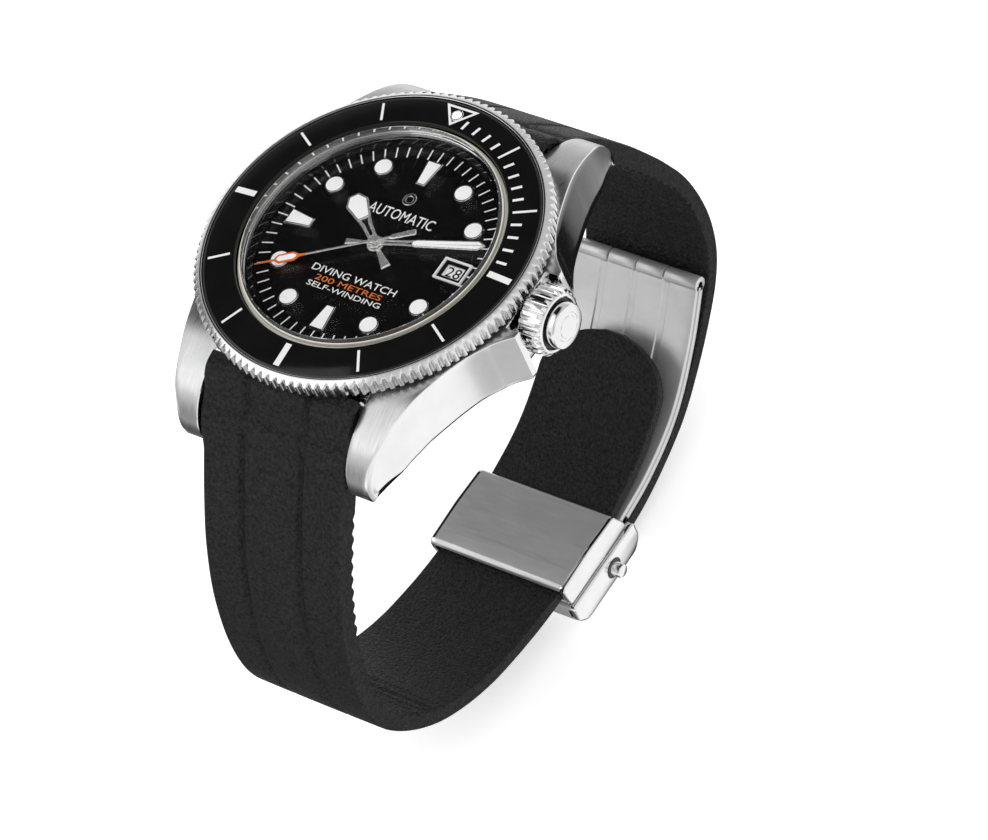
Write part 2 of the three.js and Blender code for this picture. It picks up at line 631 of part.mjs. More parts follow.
function cover() {
  const side = [[-4.8, -49.3], [8.8, -49.3], [8.8, -52], [7.4, -53.4], [-3.4, -53.4], [-4.8, -52]];
  const hollow = [[-4, -48], [7.9, -48], [10, -49.6], [10, -52.7], [-3.2, -52.7], [-4, -51.9]];
  const body = cut(sidePlate(side, -FRAME_OUT, FRAME_OUT), sidePlate(hollow, -8.95, 8.95));
  return cut(body, barX(0.98, -11, 11, ...BUTTON, 12));
}

// The button on the crown's side for 1, and on the far side for -1.
function button(side) {
  const knob = join(barX(0.88, 8.5, 11.4, ...BUTTON, 12), barX(1.15, 8.3, 8.75, ...BUTTON, 12));
  return side > 0 ? knob : knob.rotateY(Math.PI).translate(0, 0, 2 * BUTTON[1]);
}

add("clasp_frame", frame(), brushed);
add("strap_stud", disc(STUD_R, -48.35, -46.5, 12, 0, STUD_Y), steel);
add("clasp_blade_inner", blade(0, [[-4, 4]], [[-9, -4.1], [4.1, 9]], 0.995), brushed);
add("clasp_blade_outer", blade(0.85, [[-8.9, -4.2], [4.2, 8.9]], [[-4.3, 4.3]], 0.97), brushed);
add("clasp_hinge_pin", barX(0.42, -8.9, 8.9, ...KNUCKLE, 10), steel);
add("clasp_cover", cover(), steel);
add("cover_spring_bar", barX(0.45, -8.8, 8.8, ...COVER_BAR, 8), steel);
add("button_crown_side", button(1), steel);
add("button_far_side", button(-1), steel);

export default watch;
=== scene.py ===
# The looks of a dive watch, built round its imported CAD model. Lengths in the shape code are
# millimetres in the part's frame, with +Z out of the dial, +Y to 12 and +X to the crown; every mesh
# is written in metres.
import json
import math

import bmesh
import bpy
import numpy as np
from mathutils import Matrix, Vector


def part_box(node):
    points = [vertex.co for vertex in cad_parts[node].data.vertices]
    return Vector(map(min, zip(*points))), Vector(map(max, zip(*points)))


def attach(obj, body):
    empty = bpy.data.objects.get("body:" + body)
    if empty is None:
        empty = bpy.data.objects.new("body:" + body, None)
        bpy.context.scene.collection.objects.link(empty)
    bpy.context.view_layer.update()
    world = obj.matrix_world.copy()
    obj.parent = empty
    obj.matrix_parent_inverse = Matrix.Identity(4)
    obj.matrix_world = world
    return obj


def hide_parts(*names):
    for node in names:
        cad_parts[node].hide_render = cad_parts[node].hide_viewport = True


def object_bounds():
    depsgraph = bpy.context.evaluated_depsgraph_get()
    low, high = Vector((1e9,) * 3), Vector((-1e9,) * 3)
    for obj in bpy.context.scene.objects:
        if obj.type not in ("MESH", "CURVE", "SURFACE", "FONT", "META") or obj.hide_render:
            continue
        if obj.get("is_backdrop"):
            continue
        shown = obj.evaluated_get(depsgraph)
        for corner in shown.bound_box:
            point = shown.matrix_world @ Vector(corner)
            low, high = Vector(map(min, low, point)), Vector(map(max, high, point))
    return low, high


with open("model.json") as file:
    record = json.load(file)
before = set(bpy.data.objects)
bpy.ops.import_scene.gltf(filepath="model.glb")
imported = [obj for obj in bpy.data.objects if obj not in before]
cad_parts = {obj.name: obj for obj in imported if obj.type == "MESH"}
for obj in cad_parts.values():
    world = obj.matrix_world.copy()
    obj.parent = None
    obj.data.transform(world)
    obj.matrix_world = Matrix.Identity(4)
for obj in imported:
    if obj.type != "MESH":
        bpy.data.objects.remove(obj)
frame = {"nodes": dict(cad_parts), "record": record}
cad_low, cad_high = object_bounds()
MM = 0.001


def mm_box(node):
    low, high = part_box(node)
    return np.array(low) / MM, np.array(high) / MM


def middle_yz(node):
    low, high = mm_box(node)
    return tuple((low[1:] + high[1:]) / 2)


# ---- Where the CAD pieces are ----
BEZEL_LOW, BEZEL_HIGH = mm_box("bezel_ring")
BEZEL_R, BEZEL_BOTTOM = BEZEL_HIGH[0], BEZEL_LOW[2]
INSERT_OUT, _, INSERT_TOP = mm_box("bezel_insert")[1]
INSERT_IN = 15.85
INSERT_FALL = 0.4  # from the insert's inner edge down to its outer edge
CRYSTAL_LOW = mm_box("crystal")[0][2]
CRYSTAL_R, _, CRYSTAL_TOP = mm_box("crystal")[1]
DATE_LOW, DATE_HIGH = mm_box("date_window_frame")
DIAL_TOP = DATE_LOW[2] - 0.02
DIAL_LOW = DIAL_TOP - 0.2
DISC_TOP = DIAL_LOW - 0.05
DIAL_R = 14.8
CROWN_LOW, CROWN_HIGH = mm_box("crown")
CROWN_Z = (CROWN_LOW[2] + CROWN_HIGH[2]) / 2
CROWN_R = (CROWN_HIGH[2] - CROWN_LOW[2]) / 2
BAR_Y, BAR_Z = middle_yz("spring_bar_12")
HOUR_Z, MINUTE_Z, SECONDS_Z = (mm_box(hand + "_hand")[0][2] for hand in ("hour", "minute", "seconds"))
HOUR_ANGLE, MINUTE_ANGLE, SECONDS_ANGLE = 142.5, 17.4, 214.0
KNUCKLE_YZ = middle_yz("clasp_hinge_pin")
KNUCKLE_R = 1.0
BUTTON_END = mm_box("button_crown_side")[1][0]
BUTTON_YZ = middle_yz("button_crown_side")
COVER_LOW, COVER_HIGH = mm_box("clasp_cover")
BACK_R = mm_box("case_back")[1][0]
LUG_IN = 10.5  # the lugs' inner sides
STRAP_HALF = 10.3  # half the strap's width between the lugs


# ---- Materials ----
NOISE_LOW, NOISE_HIGH = 0.3, 0.7  # the noise's useful range


def nodes_of(name):
    material = bpy.data.materials.new(name)
    material.use_nodes = True
    tree = material.node_tree
    return material, tree, tree.nodes["Principled BSDF"]


def texture(tree, scale, stretch=(1, 1, 1), detail=3.0, turn=0.0):
    """A noise in the piece's own coordinates, scale per metre."""
    place = tree.nodes.new("ShaderNodeTexCoord")
    mapping = tree.nodes.new("ShaderNodeMapping")
    mapping.inputs["Scale"].default_value = stretch
    mapping.inputs["Rotation"].default_value = (0, 0, turn)
    noise = tree.nodes.new("ShaderNodeTexNoise")
    noise.inputs["Scale"].default_value = scale
    noise.inputs["Detail"].default_value = detail
    tree.links.new(place.outputs["Object"], mapping.inputs["Vector"])
    tree.links.new(mapping.outputs["Vector"], noise.inputs["Vector"])
    return noise.outputs["Fac"]


def spread(tree, source, low, high):
    """The noise mapped to a range of values."""
    node = tree.nodes.new("ShaderNodeMapRange")
    node.inputs["From Min"].default_value = NOISE_LOW
    node.inputs["From Max"].default_value = NOISE_HIGH
    node.inputs["To Min"].default_value = low
    node.inputs["To Max"].default_value = high
    tree.links.new(source, node.inputs["Value"])
    return node.outputs["Result"]


def tint(tree, source, low, high):
    """The noise mapped to a range of colours."""
    ramp = tree.nodes.new("ShaderNodeValToRGB")
    for element, at, colour in zip(ramp.color_ramp.elements, (NOISE_LOW, NOISE_HIGH), (low, high)):
        element.position = at
        element.color = (*colour, 1)
    tree.links.new(source, ramp.inputs["Fac"])
    return ramp.outputs["Color"]


def bump(tree, shader, source, strength, distance):
    node = tree.nodes.new("ShaderNodeBump")
    node.inputs["Strength"].default_value = strength
    node.inputs["Distance"].default_value = distance
    tree.links.new(source, node.inputs["Height"])
    tree.links.new(node.outputs["Normal"], shader.inputs["Normal"])


def finish_of(name, low, high, rough, metallic=0.0, scale=900, stretch=(1, 1, 1),
              grain=(0.0, 0.0), turn=0.0, specular=0.5, spot=260, glow=0.0):
    """A surface whose colour and roughness vary a little; grain is a bump's strength and depth."""
    material, tree, shader = nodes_of(name)
    fine = texture(tree, scale, stretch, turn=turn)
    broad = texture(tree, spot)
    tree.links.new(tint(tree, broad, low, high), shader.inputs["Base Color"])
    tree.links.new(spread(tree, fine, *rough), shader.inputs["Roughness"])
    shader.inputs["Metallic"].default_value = metallic
    shader.inputs["Specular IOR Level"].default_value = specular
    # The emission below is the glow: painted light on the watch's parts, and an even brightness on the
    # floor.
    shader.inputs["Emission Color"].default_value = (*high, 1)
    shader.inputs["Emission Strength"].default_value = glow
    if grain[0]:
        bump(tree, shader, fine, *grain)
    return material


def grey(value):
    return (value, value, value)


POLISHED = finish_of("polished_steel", grey(0.80), grey(0.86), (0.06, 0.12), 1.0, scale=1500,
                     grain=(0.02, 0.00001))
BRUSHED = finish_of("brushed_steel", (0.56, 0.56, 0.565), (0.64, 0.64, 0.645), (0.24, 0.40), 1.0,
                    stretch=(9, 0.35, 0.35), grain=(0.10, 0.00002), turn=0.12)
SATIN = finish_of("satin_steel", (0.62, 0.62, 0.625), (0.68, 0.68, 0.685), (0.30, 0.44), 0.70,
                  stretch=(0.3, 8, 8), grain=(0.08, 0.00002))
BEZEL_STEEL = finish_of("bezel_steel", grey(0.72), grey(0.84), (0.10, 0.22), 1.0, scale=2500,
                        grain=(0.05, 0.00001))
# The hands' steel glows: painted light that brightens the hands.
HAND_STEEL = finish_of("hand_steel", grey(0.74), grey(0.84), (0.16, 0.30), 1.0, scale=2600, glow=0.16)
CERAMIC = finish_of("bezel_ceramic", grey(0.005), grey(0.007), (0.06, 0.09), scale=1800)
LACQUER = finish_of("dial_lacquer", grey(0.0022), grey(0.003), (0.12, 0.15), scale=2500, specular=0.3)
CHROME_BLACK = finish_of("rehaut_black", grey(0.09), grey(0.11), (0.03, 0.06), 1.0, scale=1500)
RUBBER = finish_of("strap_rubber", grey(0.0), grey(0.018), (0.34, 0.60), scale=3000,
                   grain=(1.0, 0.0004), specular=0.27, spot=2400)
# The lume's glow is painted light that brightens it as if lit, not the lume's afterglow.
LUME = finish_of("lume_white", grey(0.84), grey(0.92), (0.45, 0.60), scale=4000,
                 grain=(0.12, 0.00002), glow=0.42)
PRINT = finish_of("white_print", grey(0.74), grey(0.82), (0.40, 0.55), scale=4000)
# The dial print glows: painted light that brightens it under the crystal.
DIAL_PRINT = finish_of("dial_print", grey(0.76), grey(0.84), (0.40, 0.55), scale=4000, glow=0.35)
# The orange lacquer glows: painted light that brightens it.
ORANGE = finish_of("orange_lacquer", (0.72, 0.155, 0.02), (0.80, 0.19, 0.03), (0.25, 0.40),
                   scale=3000, glow=0.25)
NYLON = finish_of("nylon_white", (0.66, 0.64, 0.56), (0.74, 0.72, 0.64), (0.35, 0.55), scale=2500)
BRASS = finish_of("brass_gilt", (0.60, 0.43, 0.17), (0.68, 0.50, 0.22), (0.18, 0.34), 1.0,
                  scale=1800, grain=(0.05, 0.00001))
RHODIUM = finish_of("rhodium_plate", grey(0.58), grey(0.66), (0.22, 0.36), 1.0, scale=1600,
                    stretch=(1, 6, 1), grain=(0.06, 0.00001))
# A near-black fill that stands for shade: painted shade in hollows, cuts and gaps round parts.
PAINTED_SHADE_FILL = finish_of("painted_shade_dark", grey(0.02), grey(0.035), (0.35, 0.50), scale=2000)


def sapphire():
    material, tree, shader = nodes_of("sapphire_glass")
    shader.inputs["Base Color"].default_value = (1, 1, 1, 1)
    shader.inputs["Roughness"].default_value = 0.0
    shader.inputs["IOR"].default_value = 1.77
    shader.inputs["Transmission Weight"].default_value = 1.0
    shader.inputs["Specular IOR Level"].default_value = 0.12
    bump(tree, shader, texture(tree, 60), 0.004, 0.00001)
    return material


GLASS = sapphire()
SLOT_MATERIAL = {
    "steel": POLISHED, "brushed_steel": SATIN, "bezel_ceramic": CERAMIC, "dial_lacquer": LACQUER,
    "rubber": RUBBER, "sapphire": GLASS, "lume": LUME, "nylon": NYLON, "rhodium": RHODIUM,
    "brass": BRASS, "orange_lacquer": ORANGE,
}
SLOT_OF = {p["node"]: p["material_slot"] for p in frame["record"]["subparts"]}
for node_name, node_object in frame["nodes"].items():
    node_object.data.materials.clear()
    node_object.data.materials.append(SLOT_MATERIAL[SLOT_OF[node_name]])


# ---- Shape code ----
ROUND_STEPS = 3  # spans in the rounding of a block's edge
TINY = 1e-6


class Shape:
    """Vertices and faces in millimetres, with a material number for each face."""

    def __init__(self):
        self.points = []
        self.faces = []
        self.marks = []

    def grid(self, rows, close=False, loop=False, mark=0):
        """Quads between rows of points; close joins each row's ends, loop joins last row to first."""
        start = len(self.points)
        count = len(rows[0])
        for row in rows:
            self.points.extend(tuple(p) for p in row)
        spans = len(rows) if loop else len(rows) - 1
        for i in range(spans):
            j = (i + 1) % len(rows)
            for k in range(count if close else count - 1):
                m = (k + 1) % count
                a, b = start + i * count, start + j * count
                self.faces.append((a + k, a + m, b + m, b + k))
                self.marks.append(mark(i, k) if callable(mark) else mark)

    def cap(self, row, mark=0):
        """One face over a row of points."""
        start = len(self.points)
        self.points.extend(tuple(p) for p in row)
        self.faces.append(tuple(range(start, start + len(row))))
        self.marks.append(mark)

    def lathe(self, profile, segments=144, closed=True, mark=0, x=0.0, y=0.0):
        """A profile of (radius, height) points turned about the vertical line through x, y."""
        rows = [[(*p, z) for p in circle(r, segments, x, y)] for r, z in profile]
        self.grid(rows, close=True, loop=closed, mark=mark)
        if not closed:
            for (r, _), row in ((profile[0], rows[0]), (profile[-1], rows[-1])):
                if r > TINY:
                    self.cap(row, mark)

    def block(self, outline, low, high, bevel, place=None, mark=0, bottom_bevel=False):
        """An outline of (x, y) points raised from low to high with rounded upper edges."""
        place = place or (lambda p, z: (p[0], p[1], z))
        turns = [math.pi / 2 * i / ROUND_STEPS for i in range(ROUND_STEPS + 1)]
        rings = [(0.0, low)]
        if bottom_bevel:
            rings = [(bevel * (1 - math.sin(a)), low + bevel * (1 - math.cos(a))) for a in turns]
        rings += [(bevel * (1 - math.cos(a)), high - bevel * (1 - math.sin(a))) for a in turns]
        rows = [[place(p, z) for p in shrink(outline, inset)] for inset, z in rings]
        self.grid(rows, close=True, mark=mark)
        self.cap(rows[0], mark)
        self.cap(rows[-1], mark)


def shrink(outline, d):
    """A closed outline, turned anticlockwise, with each edge moved inwards by d."""
    points = [np.array(p, float) for p in outline]
    area = sum(a[0] * b[1] - b[0] * a[1] for a, b in zip(points, points[1:] + points[:1]))
    if area < 0:
        points = points[::-1]
    if d == 0:
        return [tuple(p) for p in points]
    made = []
    for i, p in enumerate(points):
        before, after = points[i - 1], points[(i + 1) % len(points)]
        e1, e2 = p - before, after - p
        e1, e2 = e1 / max(np.linalg.norm(e1), 1e-9), e2 / max(np.linalg.norm(e2), 1e-9)
        n1, n2 = np.array([-e1[1], e1[0]]), np.array([-e2[1], e2[0]])
        m = n1 + n2
        m = m / max(np.linalg.norm(m), 1e-9)
        made.append(tuple(p + m * d / max(0.35, float(m @ n1))))
    return made


def linked(name, data):
    """A new object in the scene."""
    made = bpy.data.objects.new(name, data)
    bpy.context.scene.collection.objects.link(made)
    return made


def build(name, shape, materials, body, replaces=(), angle=32):
    """The mesh of a shape, riding on a body. Its faces all look outwards."""
    mesh = bpy.data.meshes.new(name)
    mesh.from_pydata([(x * MM, y * MM, z * MM) for x, y, z in shape.points], [], shape.faces)
    for material in materials:
        mesh.materials.append(material)
    mesh.polygons.foreach_set("material_index", shape.marks)
    made = bmesh.new()
    made.from_mesh(mesh)
    bmesh.ops.remove_doubles(made, verts=made.verts, dist=1e-7)
    bmesh.ops.dissolve_degenerate(made, edges=made.edges, dist=1e-8)
    bmesh.ops.recalc_face_normals(made, faces=made.faces)
    made.to_mesh(mesh)
    made.free()
    mesh.polygons.foreach_set("use_smooth", [True] * len(mesh.polygons))
    mesh.set_sharp_from_angle(angle=math.radians(angle))
    piece = linked(name, mesh)
    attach(piece, body)
    if replaces:
        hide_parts(*replaces)
    return piece


def bar_outline(x0, x1, width):
    """A rectangle along +X from x0 to x1."""
    return [(x0, -width / 2), (x1, -width / 2), (x1, width / 2), (x0, width / 2)]


def turned(outline, degrees):
    c, s = math.cos(math.radians(degrees)), math.sin(math.radians(degrees))
    return [(x * c - y * s, x * s + y * c) for x, y in outline]


def round_outline(outline, radius, steps=4):
    """An outline with its corners rounded off."""
    points = [np.array(p, float) for p in outline]
    made = []
    for i, p in enumerate(points):
        a, b = points[i - 1] - p, points[(i + 1) % len(points)] - p
        la, lb = np.linalg.norm(a), np.linalg.norm(b)
        r = min(radius, la * 0.45, lb * 0.45)
        start, end = p + a / la * r, p + b / lb * r
        for k in range(steps + 1):
            t = k / steps
            made.append(tuple((1 - t) ** 2 * start + 2 * t * (1 - t) * p + t * t * end))
    return made


def circle(r, n, x=0.0, y=0.0):
    turns = [2 * math.pi * i / n for i in range(n)]
    return [(x + r * math.cos(a), y + r * math.sin(a)) for a in turns]


def smooth(points, count):
    """Centripetal Catmull-Rom curve through (y, z) points, as evenly spaced points and tangents."""
    p = [np.array(q, float) for q in points]
    p = [2 * p[0] - p[1], *p, 2 * p[-1] - p[-2]]
    dense = []
    for i in range(1, len(p) - 2):
        a, b, c, d = p[i - 1], p[i], p[i + 1], p[i + 2]
        t0, t1, t2 = (max(np.linalg.norm(v) ** 0.5, 1e-4) for v in (b - a, c - b, d - c))
        m1 = ((b - a) / t0 - (c - a) / (t0 + t1) + (c - b) / t1) * t1
        m2 = ((c - b) / t1 - (d - b) / (t1 + t2) + (d - c) / t2) * t1
        for k in range(60):
            t = k / 60
            dense.append(b + m1 * t + (-3 * b + 3 * c - 2 * m1 - m2) * t * t
                         + (2 * b - 2 * c + m1 + m2) * t ** 3)
    dense.append(p[-2])
    dense = np.array(dense)
    length = np.concatenate([[0], np.cumsum(np.linalg.norm(np.diff(dense, axis=0), axis=1))])
    way = np.linspace(0, length[-1], count)
    line = np.stack([np.interp(way, length, dense[:, k]) for k in (0, 1)], axis=1)
    tangent = np.gradient(line, axis=0)
    tangent /= np.linalg.norm(tangent, axis=1)[:, None]
    return line, tangent, length[-1]


def steps_of(*stops):
    """A value that runs straight between (way, value) stops."""
    ways, values = zip(*stops)
    return lambda u: float(np.interp(u, ways, values))


def ease(t):
    """0 to 1 with a soft start and end."""
    t = min(max(t, 0.0), 1.0)
    return t * t * (3 - 2 * t)


def sweep(shape, points, count, section, side):
    """A band along a (y, z) curve. section(u, s) gives (x, depth) points at the way u and length s."""
    line, tangent, length = smooth(points, count)
    rows = []
    for i in range(count):
        u = i / (count - 1)
        p, t = line[i], tangent[i]
        inward = np.array([-t[1], t[0]]) * side
        rows.append([(x, *(p + inward * d)) for x, d in section(u, u * length)])
    grid_with_caps(shape, rows)


def grid_with_caps(shape, rows):
    shape.grid(rows, close=True)
    shape.cap(rows[0])
    shape.cap(rows[-1])


def turn_x(shape, profile, y, z, n):
    """A profile of (x, radius) points turned about the line along X through y, z."""
    shape.grid([[(x, *p) for p in circle(r, n, y, z)] for x, r in profile], close=True)


def bar_x(shape, radius, x0, x1, y, z, n, bevel):
    """A round bar along X with rounded ends."""
    near = bevel * 0.3
    half = [(x0, 0.0), (x0, radius - bevel), (x0 + near, radius - near), (x0 + bevel, radius)]
    other = [(x1 - bevel, radius), (x1 - near, radius - near), (x1, radius - bevel), (x1, 0.0)]
    turn_x(shape, half + other, y, z, n)


def along_x(p, x):
    """Places an outline of (y, z) points at x."""
    return (x, p[0], p[1])


def outwards(side, start):
    """Places an outline of (y, z) points at a depth beyond start, on one side of the middle."""
    return lambda p, depth: (side * (start + depth), p[0], p[1])


# ---- Case ----
# (y, z) lines of the case's upper and lower outline, and (y, x) lines of its sides
LUG_TOP = [(0, 9.3), (8, 9.3), (16, 9.25), (18.6, 8.6), (21, 7.6), (23, 6.3), (24.4, 4.7), (25.2, 3.1),
           (25.4, 1.8), (25.2, 0.6)]
LUG_LOW = [(20, 1.2), (22.2, 0.72), (23.6, 0.5), (24.6, 0.45), (25.2, 0.6)]
GUARD_END = 7.4
FLANK = [(GUARD_END, 19.3), (11.6, 17.5), (18, 15.5), (22.2, 14.4), (25.6, 13.55)]
GUARD = [(4.15, 22.25), (4.9, 22.15), (5.5, 21.4), (6.1, 20.72), (6.8, 20.1), (GUARD_END, 19.72)]
GAP_END, GAP_X = 4.12, 20.5  # the hollow behind the crown
FAR_SIDE = [(0, 19.95), (2.5, 19.9), (5, 19.7), (GUARD_END, 19.3)]
UNDERSIDE = [(0, 1.7), (16.5, 1.7), (19.5, 1.3), (20, 1.2)]
LUG_FROM = 20  # the lug's free end starts here
LOW_BEVEL = [(0, 1), (0.03, 0.93), (0.12, 0.75), (0.24, 0.52), (0.36, 0.30), (0.56, 0.10), (1, 0)]


def between(stops, y):
    return float(np.interp(y, *zip(*stops)))


def case_samples(side):
    """(top y, z), (bottom y, z) and x at each step from the middle of a flank to the lug tip."""
    line = smooth(LUG_TOP, 400)[0]
    tip = int(np.argmax(line[:, 0] >= LUG_FROM))
    low = smooth(LUG_LOW, 100)[0]
    flank = smooth(FLANK, 200)[0]
    flank = flank[np.argsort(flank[:, 0])]
    join = GUARD[-1][1] - FLANK[0][1] if side > 0 else 0.0

    def width(y):
        y = abs(y)
        if y < GUARD_END and side < 0:
            return between(FAR_SIDE, y)
        if y < GUARD_END:
            return GAP_X if y < GAP_END else between(GUARD, y)
        fade = max(0.0, 1 - (y - GUARD_END) / 2.6) ** 2
        return float(np.interp(y, flank[:, 0], flank[:, 1])) + join * fade

    made = []
    ways = [*np.linspace(0, 4.1, 8), 4.13, *np.linspace(4.2, GUARD_END, 16)]
    for y in [*ways, *np.linspace(7.7, LUG_FROM, 42)]:
        z = float(np.interp(y, line[: tip + 2, 0], line[: tip + 2, 1]))
        made.append(((y, z), (y, between(UNDERSIDE, y)), width(y), width(y)))
    rest = line[tip:]
    for share in np.linspace(0, 1, 40)[1:]:
        top = rest[int(round(share * (len(rest) - 1)))]
        bottom = low[int(round(share * (len(low) - 1)))]
        made.append((tuple(top), tuple(bottom), width(top[0]), width(bottom[0])))
    return made


def normals(chain, sign):
    """The unit normals of a chain of (y, z) points."""
    t = np.gradient(chain, axis=0)
    t /= np.maximum(np.linalg.norm(t, axis=1), 1e-9)[:, None]
    return np.stack([t[:, 1], -t[:, 0]], axis=1) * sign


def case_side(shape, side):
    """One flank with its two lugs, as cross-sections from lug tip to lug tip."""
    half = case_samples(side)
    both = [((-t[0], t[1]), (-b[0], b[1]), xt, xb) for t, b, xt, xb in half[:0:-1]] + half
    last = len(both) - 1
    down = normals(np.array([sample[0] for sample in both]), 1)
    up = normals(np.array([sample[1] for sample in both]), -1)
    soft = 0.12  # the rounding along the inner edge
    rows = []
    for i, ((yt, zt), (yb, zb), xt, xb) in enumerate(both):
        far = ease((abs(yt) - 20.5) / 4.5)
        top_bevel, low_bevel = 0.14 + 0.5 * far ** 2, 0.55 + 0.95 * far
        depth = soft + 0.45 * far ** 2
        n1, n2 = down[i], up[i]
        if i in (0, last):
            n1 = n2 = np.array([-math.copysign(0.75, yt), 0.66])
        under_bezel = math.sqrt(max(16.0 ** 2 - yt * yt, 0))
        inner = max(LUG_IN, under_bezel) if abs(yt) < 19.6 else LUG_IN
        row = [(inner, yt, zt - soft), (inner + 0.04, yt, zt - 0.035), (inner + soft, yt, zt)]
        for k in range(1, 6):
            row.append((inner + soft + (xt - depth - inner - soft) * k / 5, yt, zt))
        start = np.array([yt, zt])
        for k in range(1, 4):
            a = math.pi / 2 * k / 3
            row.append((xt - depth * (1 - math.sin(a)), *(start + n1 * top_bevel * (1 - math.cos(a)))))
        start = start + n1 * top_bevel
        end = np.array([yb, zb]) + n2 * low_bevel
        for k in range(1, 7):
            row.append((xt + (xb - xt) * k / 7, *(start + (end - start) * k / 7)))
        for across, left in LOW_BEVEL:
            at = np.array([yb, zb]) + n2 * low_bevel * left
            row.append((xb - (0.42 + 0.48 * far) * across, *at))
        row += [(inner + 0.1, yb, zb), (inner, yb, zb + 0.1)]
        rows.append([(side * x, y, z) for x, y, z in row])
    shape.grid(rows, close=True, mark=lambda i, k: 1 if 2 <= k <= 6 else 0)
    shape.cap(rows[0])
    shape.cap(rows[-1])


case = Shape()
case_side(case, 1)
case_side(case, -1)
for s in (1, -1):  # the blocks between the lugs
    rows = []
    for x in np.linspace(-10.7, 10.7, 41):
        near = math.sqrt(15.9 ** 2 - x * x)
        section = [(near, 1.7), (near, 9.3), (16.5, 9.2), (18.6, 8.55), (19.45, 8.25), (19.58, 8.1),
                   (19.6, 7.9), (19.6, 1.45), (19.4, 1.32)]
        rows.append([(x, s * y, z) for y, z in section])
    grid_with_caps(case, rows)
case.lathe([(14.95, 3.0), (17.15, 3.0), (17.2, 9.0), (17.2, 10.85), (17.1, 10.9), (15.8, 10.9),
            (15.8, 9.8), (14.95, 9.8)], 144)
case.lathe([(18.85, 9.2), (19.9, 9.2), (19.9, 9.45), (18.85, 9.45)], 144)
build("case_body", case, [POLISHED, BRUSHED], "case", ["case_middle"], angle=31)

back = Shape()
back.lathe([(0, 0), (13.2, 0), (13.4, 0.03), (13.5, 0.14), (13.75, 0.14), (13.85, 0.03), (14.1, 0.02),
            (16.3, 0.42), (16.7, 0.6), (BACK_R, 0.85), (BACK_R, 1.5), (16.7, 1.6), (15.9, 1.6),
            (15.9, 2.9), (13.9, 2.9), (13.9, 1.5), (0, 1.5)], 180,
           mark=lambda i, k: 1 if i == 0 else 0)
# The key slots, engraved lines and rings take the near-black fill: painted shade in the cuts.
key_slot = round_outline(bar_outline(15.2, 16.9, 2.1), 0.25)
for angle in range(90, 450, 60):
    back.block(turned(key_slot, angle), 0.32, 0.75, 0.05, mark=2)
for angle in range(0, 360, 10):
    back.block(turned(bar_outline(10.6, 11.6, 0.24), angle), -0.001, 0.04, 0.0, mark=2)
for r in (4.4, 9.6):
    back.lathe([(r, -0.012), (r + 0.18, -0.012), (r + 0.18, 0.05), (r, 0.05)], 120, mark=2)
build("back_cover", back, [POLISHED, BRUSHED, PAINTED_SHADE_FILL], "case", ["case_back"])

# ---- Bezel ----
TEETH = 120
PER_TOOTH = 14  # points along one tooth
LAND = 0.46  # the land's share of a tooth
LAND_FALL = 0.10
GROOVE_DEPTH = 0.46


def tooth_radius(phase):
    """The edge's radius over one tooth: a rounded land and a deeper groove."""
    if phase < LAND:
        q = abs(phase - LAND / 2) / (LAND / 2)
        return BEZEL_R - LAND_FALL * q ** 4
    q = 1 - abs(phase - (1 + LAND) / 2) / ((1 - LAND) / 2)
    return BEZEL_R - LAND_FALL - (GROOVE_DEPTH - LAND_FALL) * math.sin(math.pi / 2 * q) ** 0.8


ring = Shape()
edge = [(20.15, BEZEL_BOTTOM), (20.7, BEZEL_BOTTOM + 0.03), (20.98, BEZEL_BOTTOM + 0.15),
        (21.1, BEZEL_BOTTOM + 0.3), (21.1, 11.12), (21.0, 11.3), (20.86, 11.42), (20.66, 11.55),
        (20.45, 11.68), (20.2, 11.82), (20.08, 11.87), (19.93, 11.88), (19.85, 11.84), (19.83, 11.6),
        (19.82, 10.98), (INSERT_IN + 0.02, 10.98), (INSERT_IN, 10.9), (17.35, 10.97),
        (17.35, BEZEL_BOTTOM)]
turn_count = TEETH * PER_TOOTH
rows = []
for r, z in edge:
    row = []
    for i in range(turn_count):
        a = 2 * math.pi * i / turn_count
        out = min(r, tooth_radius(i % PER_TOOTH / PER_TOOTH))
        row.append((out * math.cos(a), out * math.sin(a), z))
    rows.append(row)
ring.grid(rows, close=True, loop=True)
build("bezel_edge", ring, [BEZEL_STEEL], "bezel", ["bezel_ring"], angle=38)


def insert_z(r):
    return INSERT_TOP - INSERT_FALL * (r - INSERT_IN) / (INSERT_OUT - INSERT_IN)


insert = Shape()
r0, r1 = INSERT_IN, INSERT_OUT
insert.lathe([(r0, INSERT_TOP - 0.6), (r0, INSERT_TOP - 0.2), (r0 + 0.05, INSERT_TOP - 0.07),
              (r0 + 0.18, INSERT_TOP - 0.02), (r0 + 0.4, insert_z(r0 + 0.4)),
              (r1 - 0.3, insert_z(r1 - 0.3)), (r1 - 0.1, insert_z(r1) - 0.02),
              (r1 - 0.02, insert_z(r1) - 0.08), (r1, insert_z(r1) - 0.2), (r1, INSERT_TOP - 0.9)],
             240)
build("insert_ceramic", insert, [CERAMIC], "bezel", ["bezel_insert"])

marks = Shape()
MARK_LOW, MARK_HIGH = -0.05, 0.015  # from the insert's face


def on_insert(p, z):
    return (p[0], p[1], insert_z(math.hypot(*p)) + z)


def insert_bar(angle, inner, outer, width):
    ways = np.linspace(inner, outer, 5)
    line = [(x, -width / 2) for x in ways] + [(x, width / 2) for x in ways[::-1]]
    marks.block(turned(line, angle), MARK_LOW, MARK_HIGH, 0.0, place=on_insert)


for minute in range(60):
    angle = 90 - 6 * minute
    if minute in (15, 30, 45):
        insert_bar(angle, 16.36, 19.26, 0.78)
    elif minute and minute % 5 == 0:
        insert_bar(angle, 16.44, 19.15, 0.30)
    elif 0 < minute < 15:
        insert_bar(angle, 16.42, 17.66, 0.34)


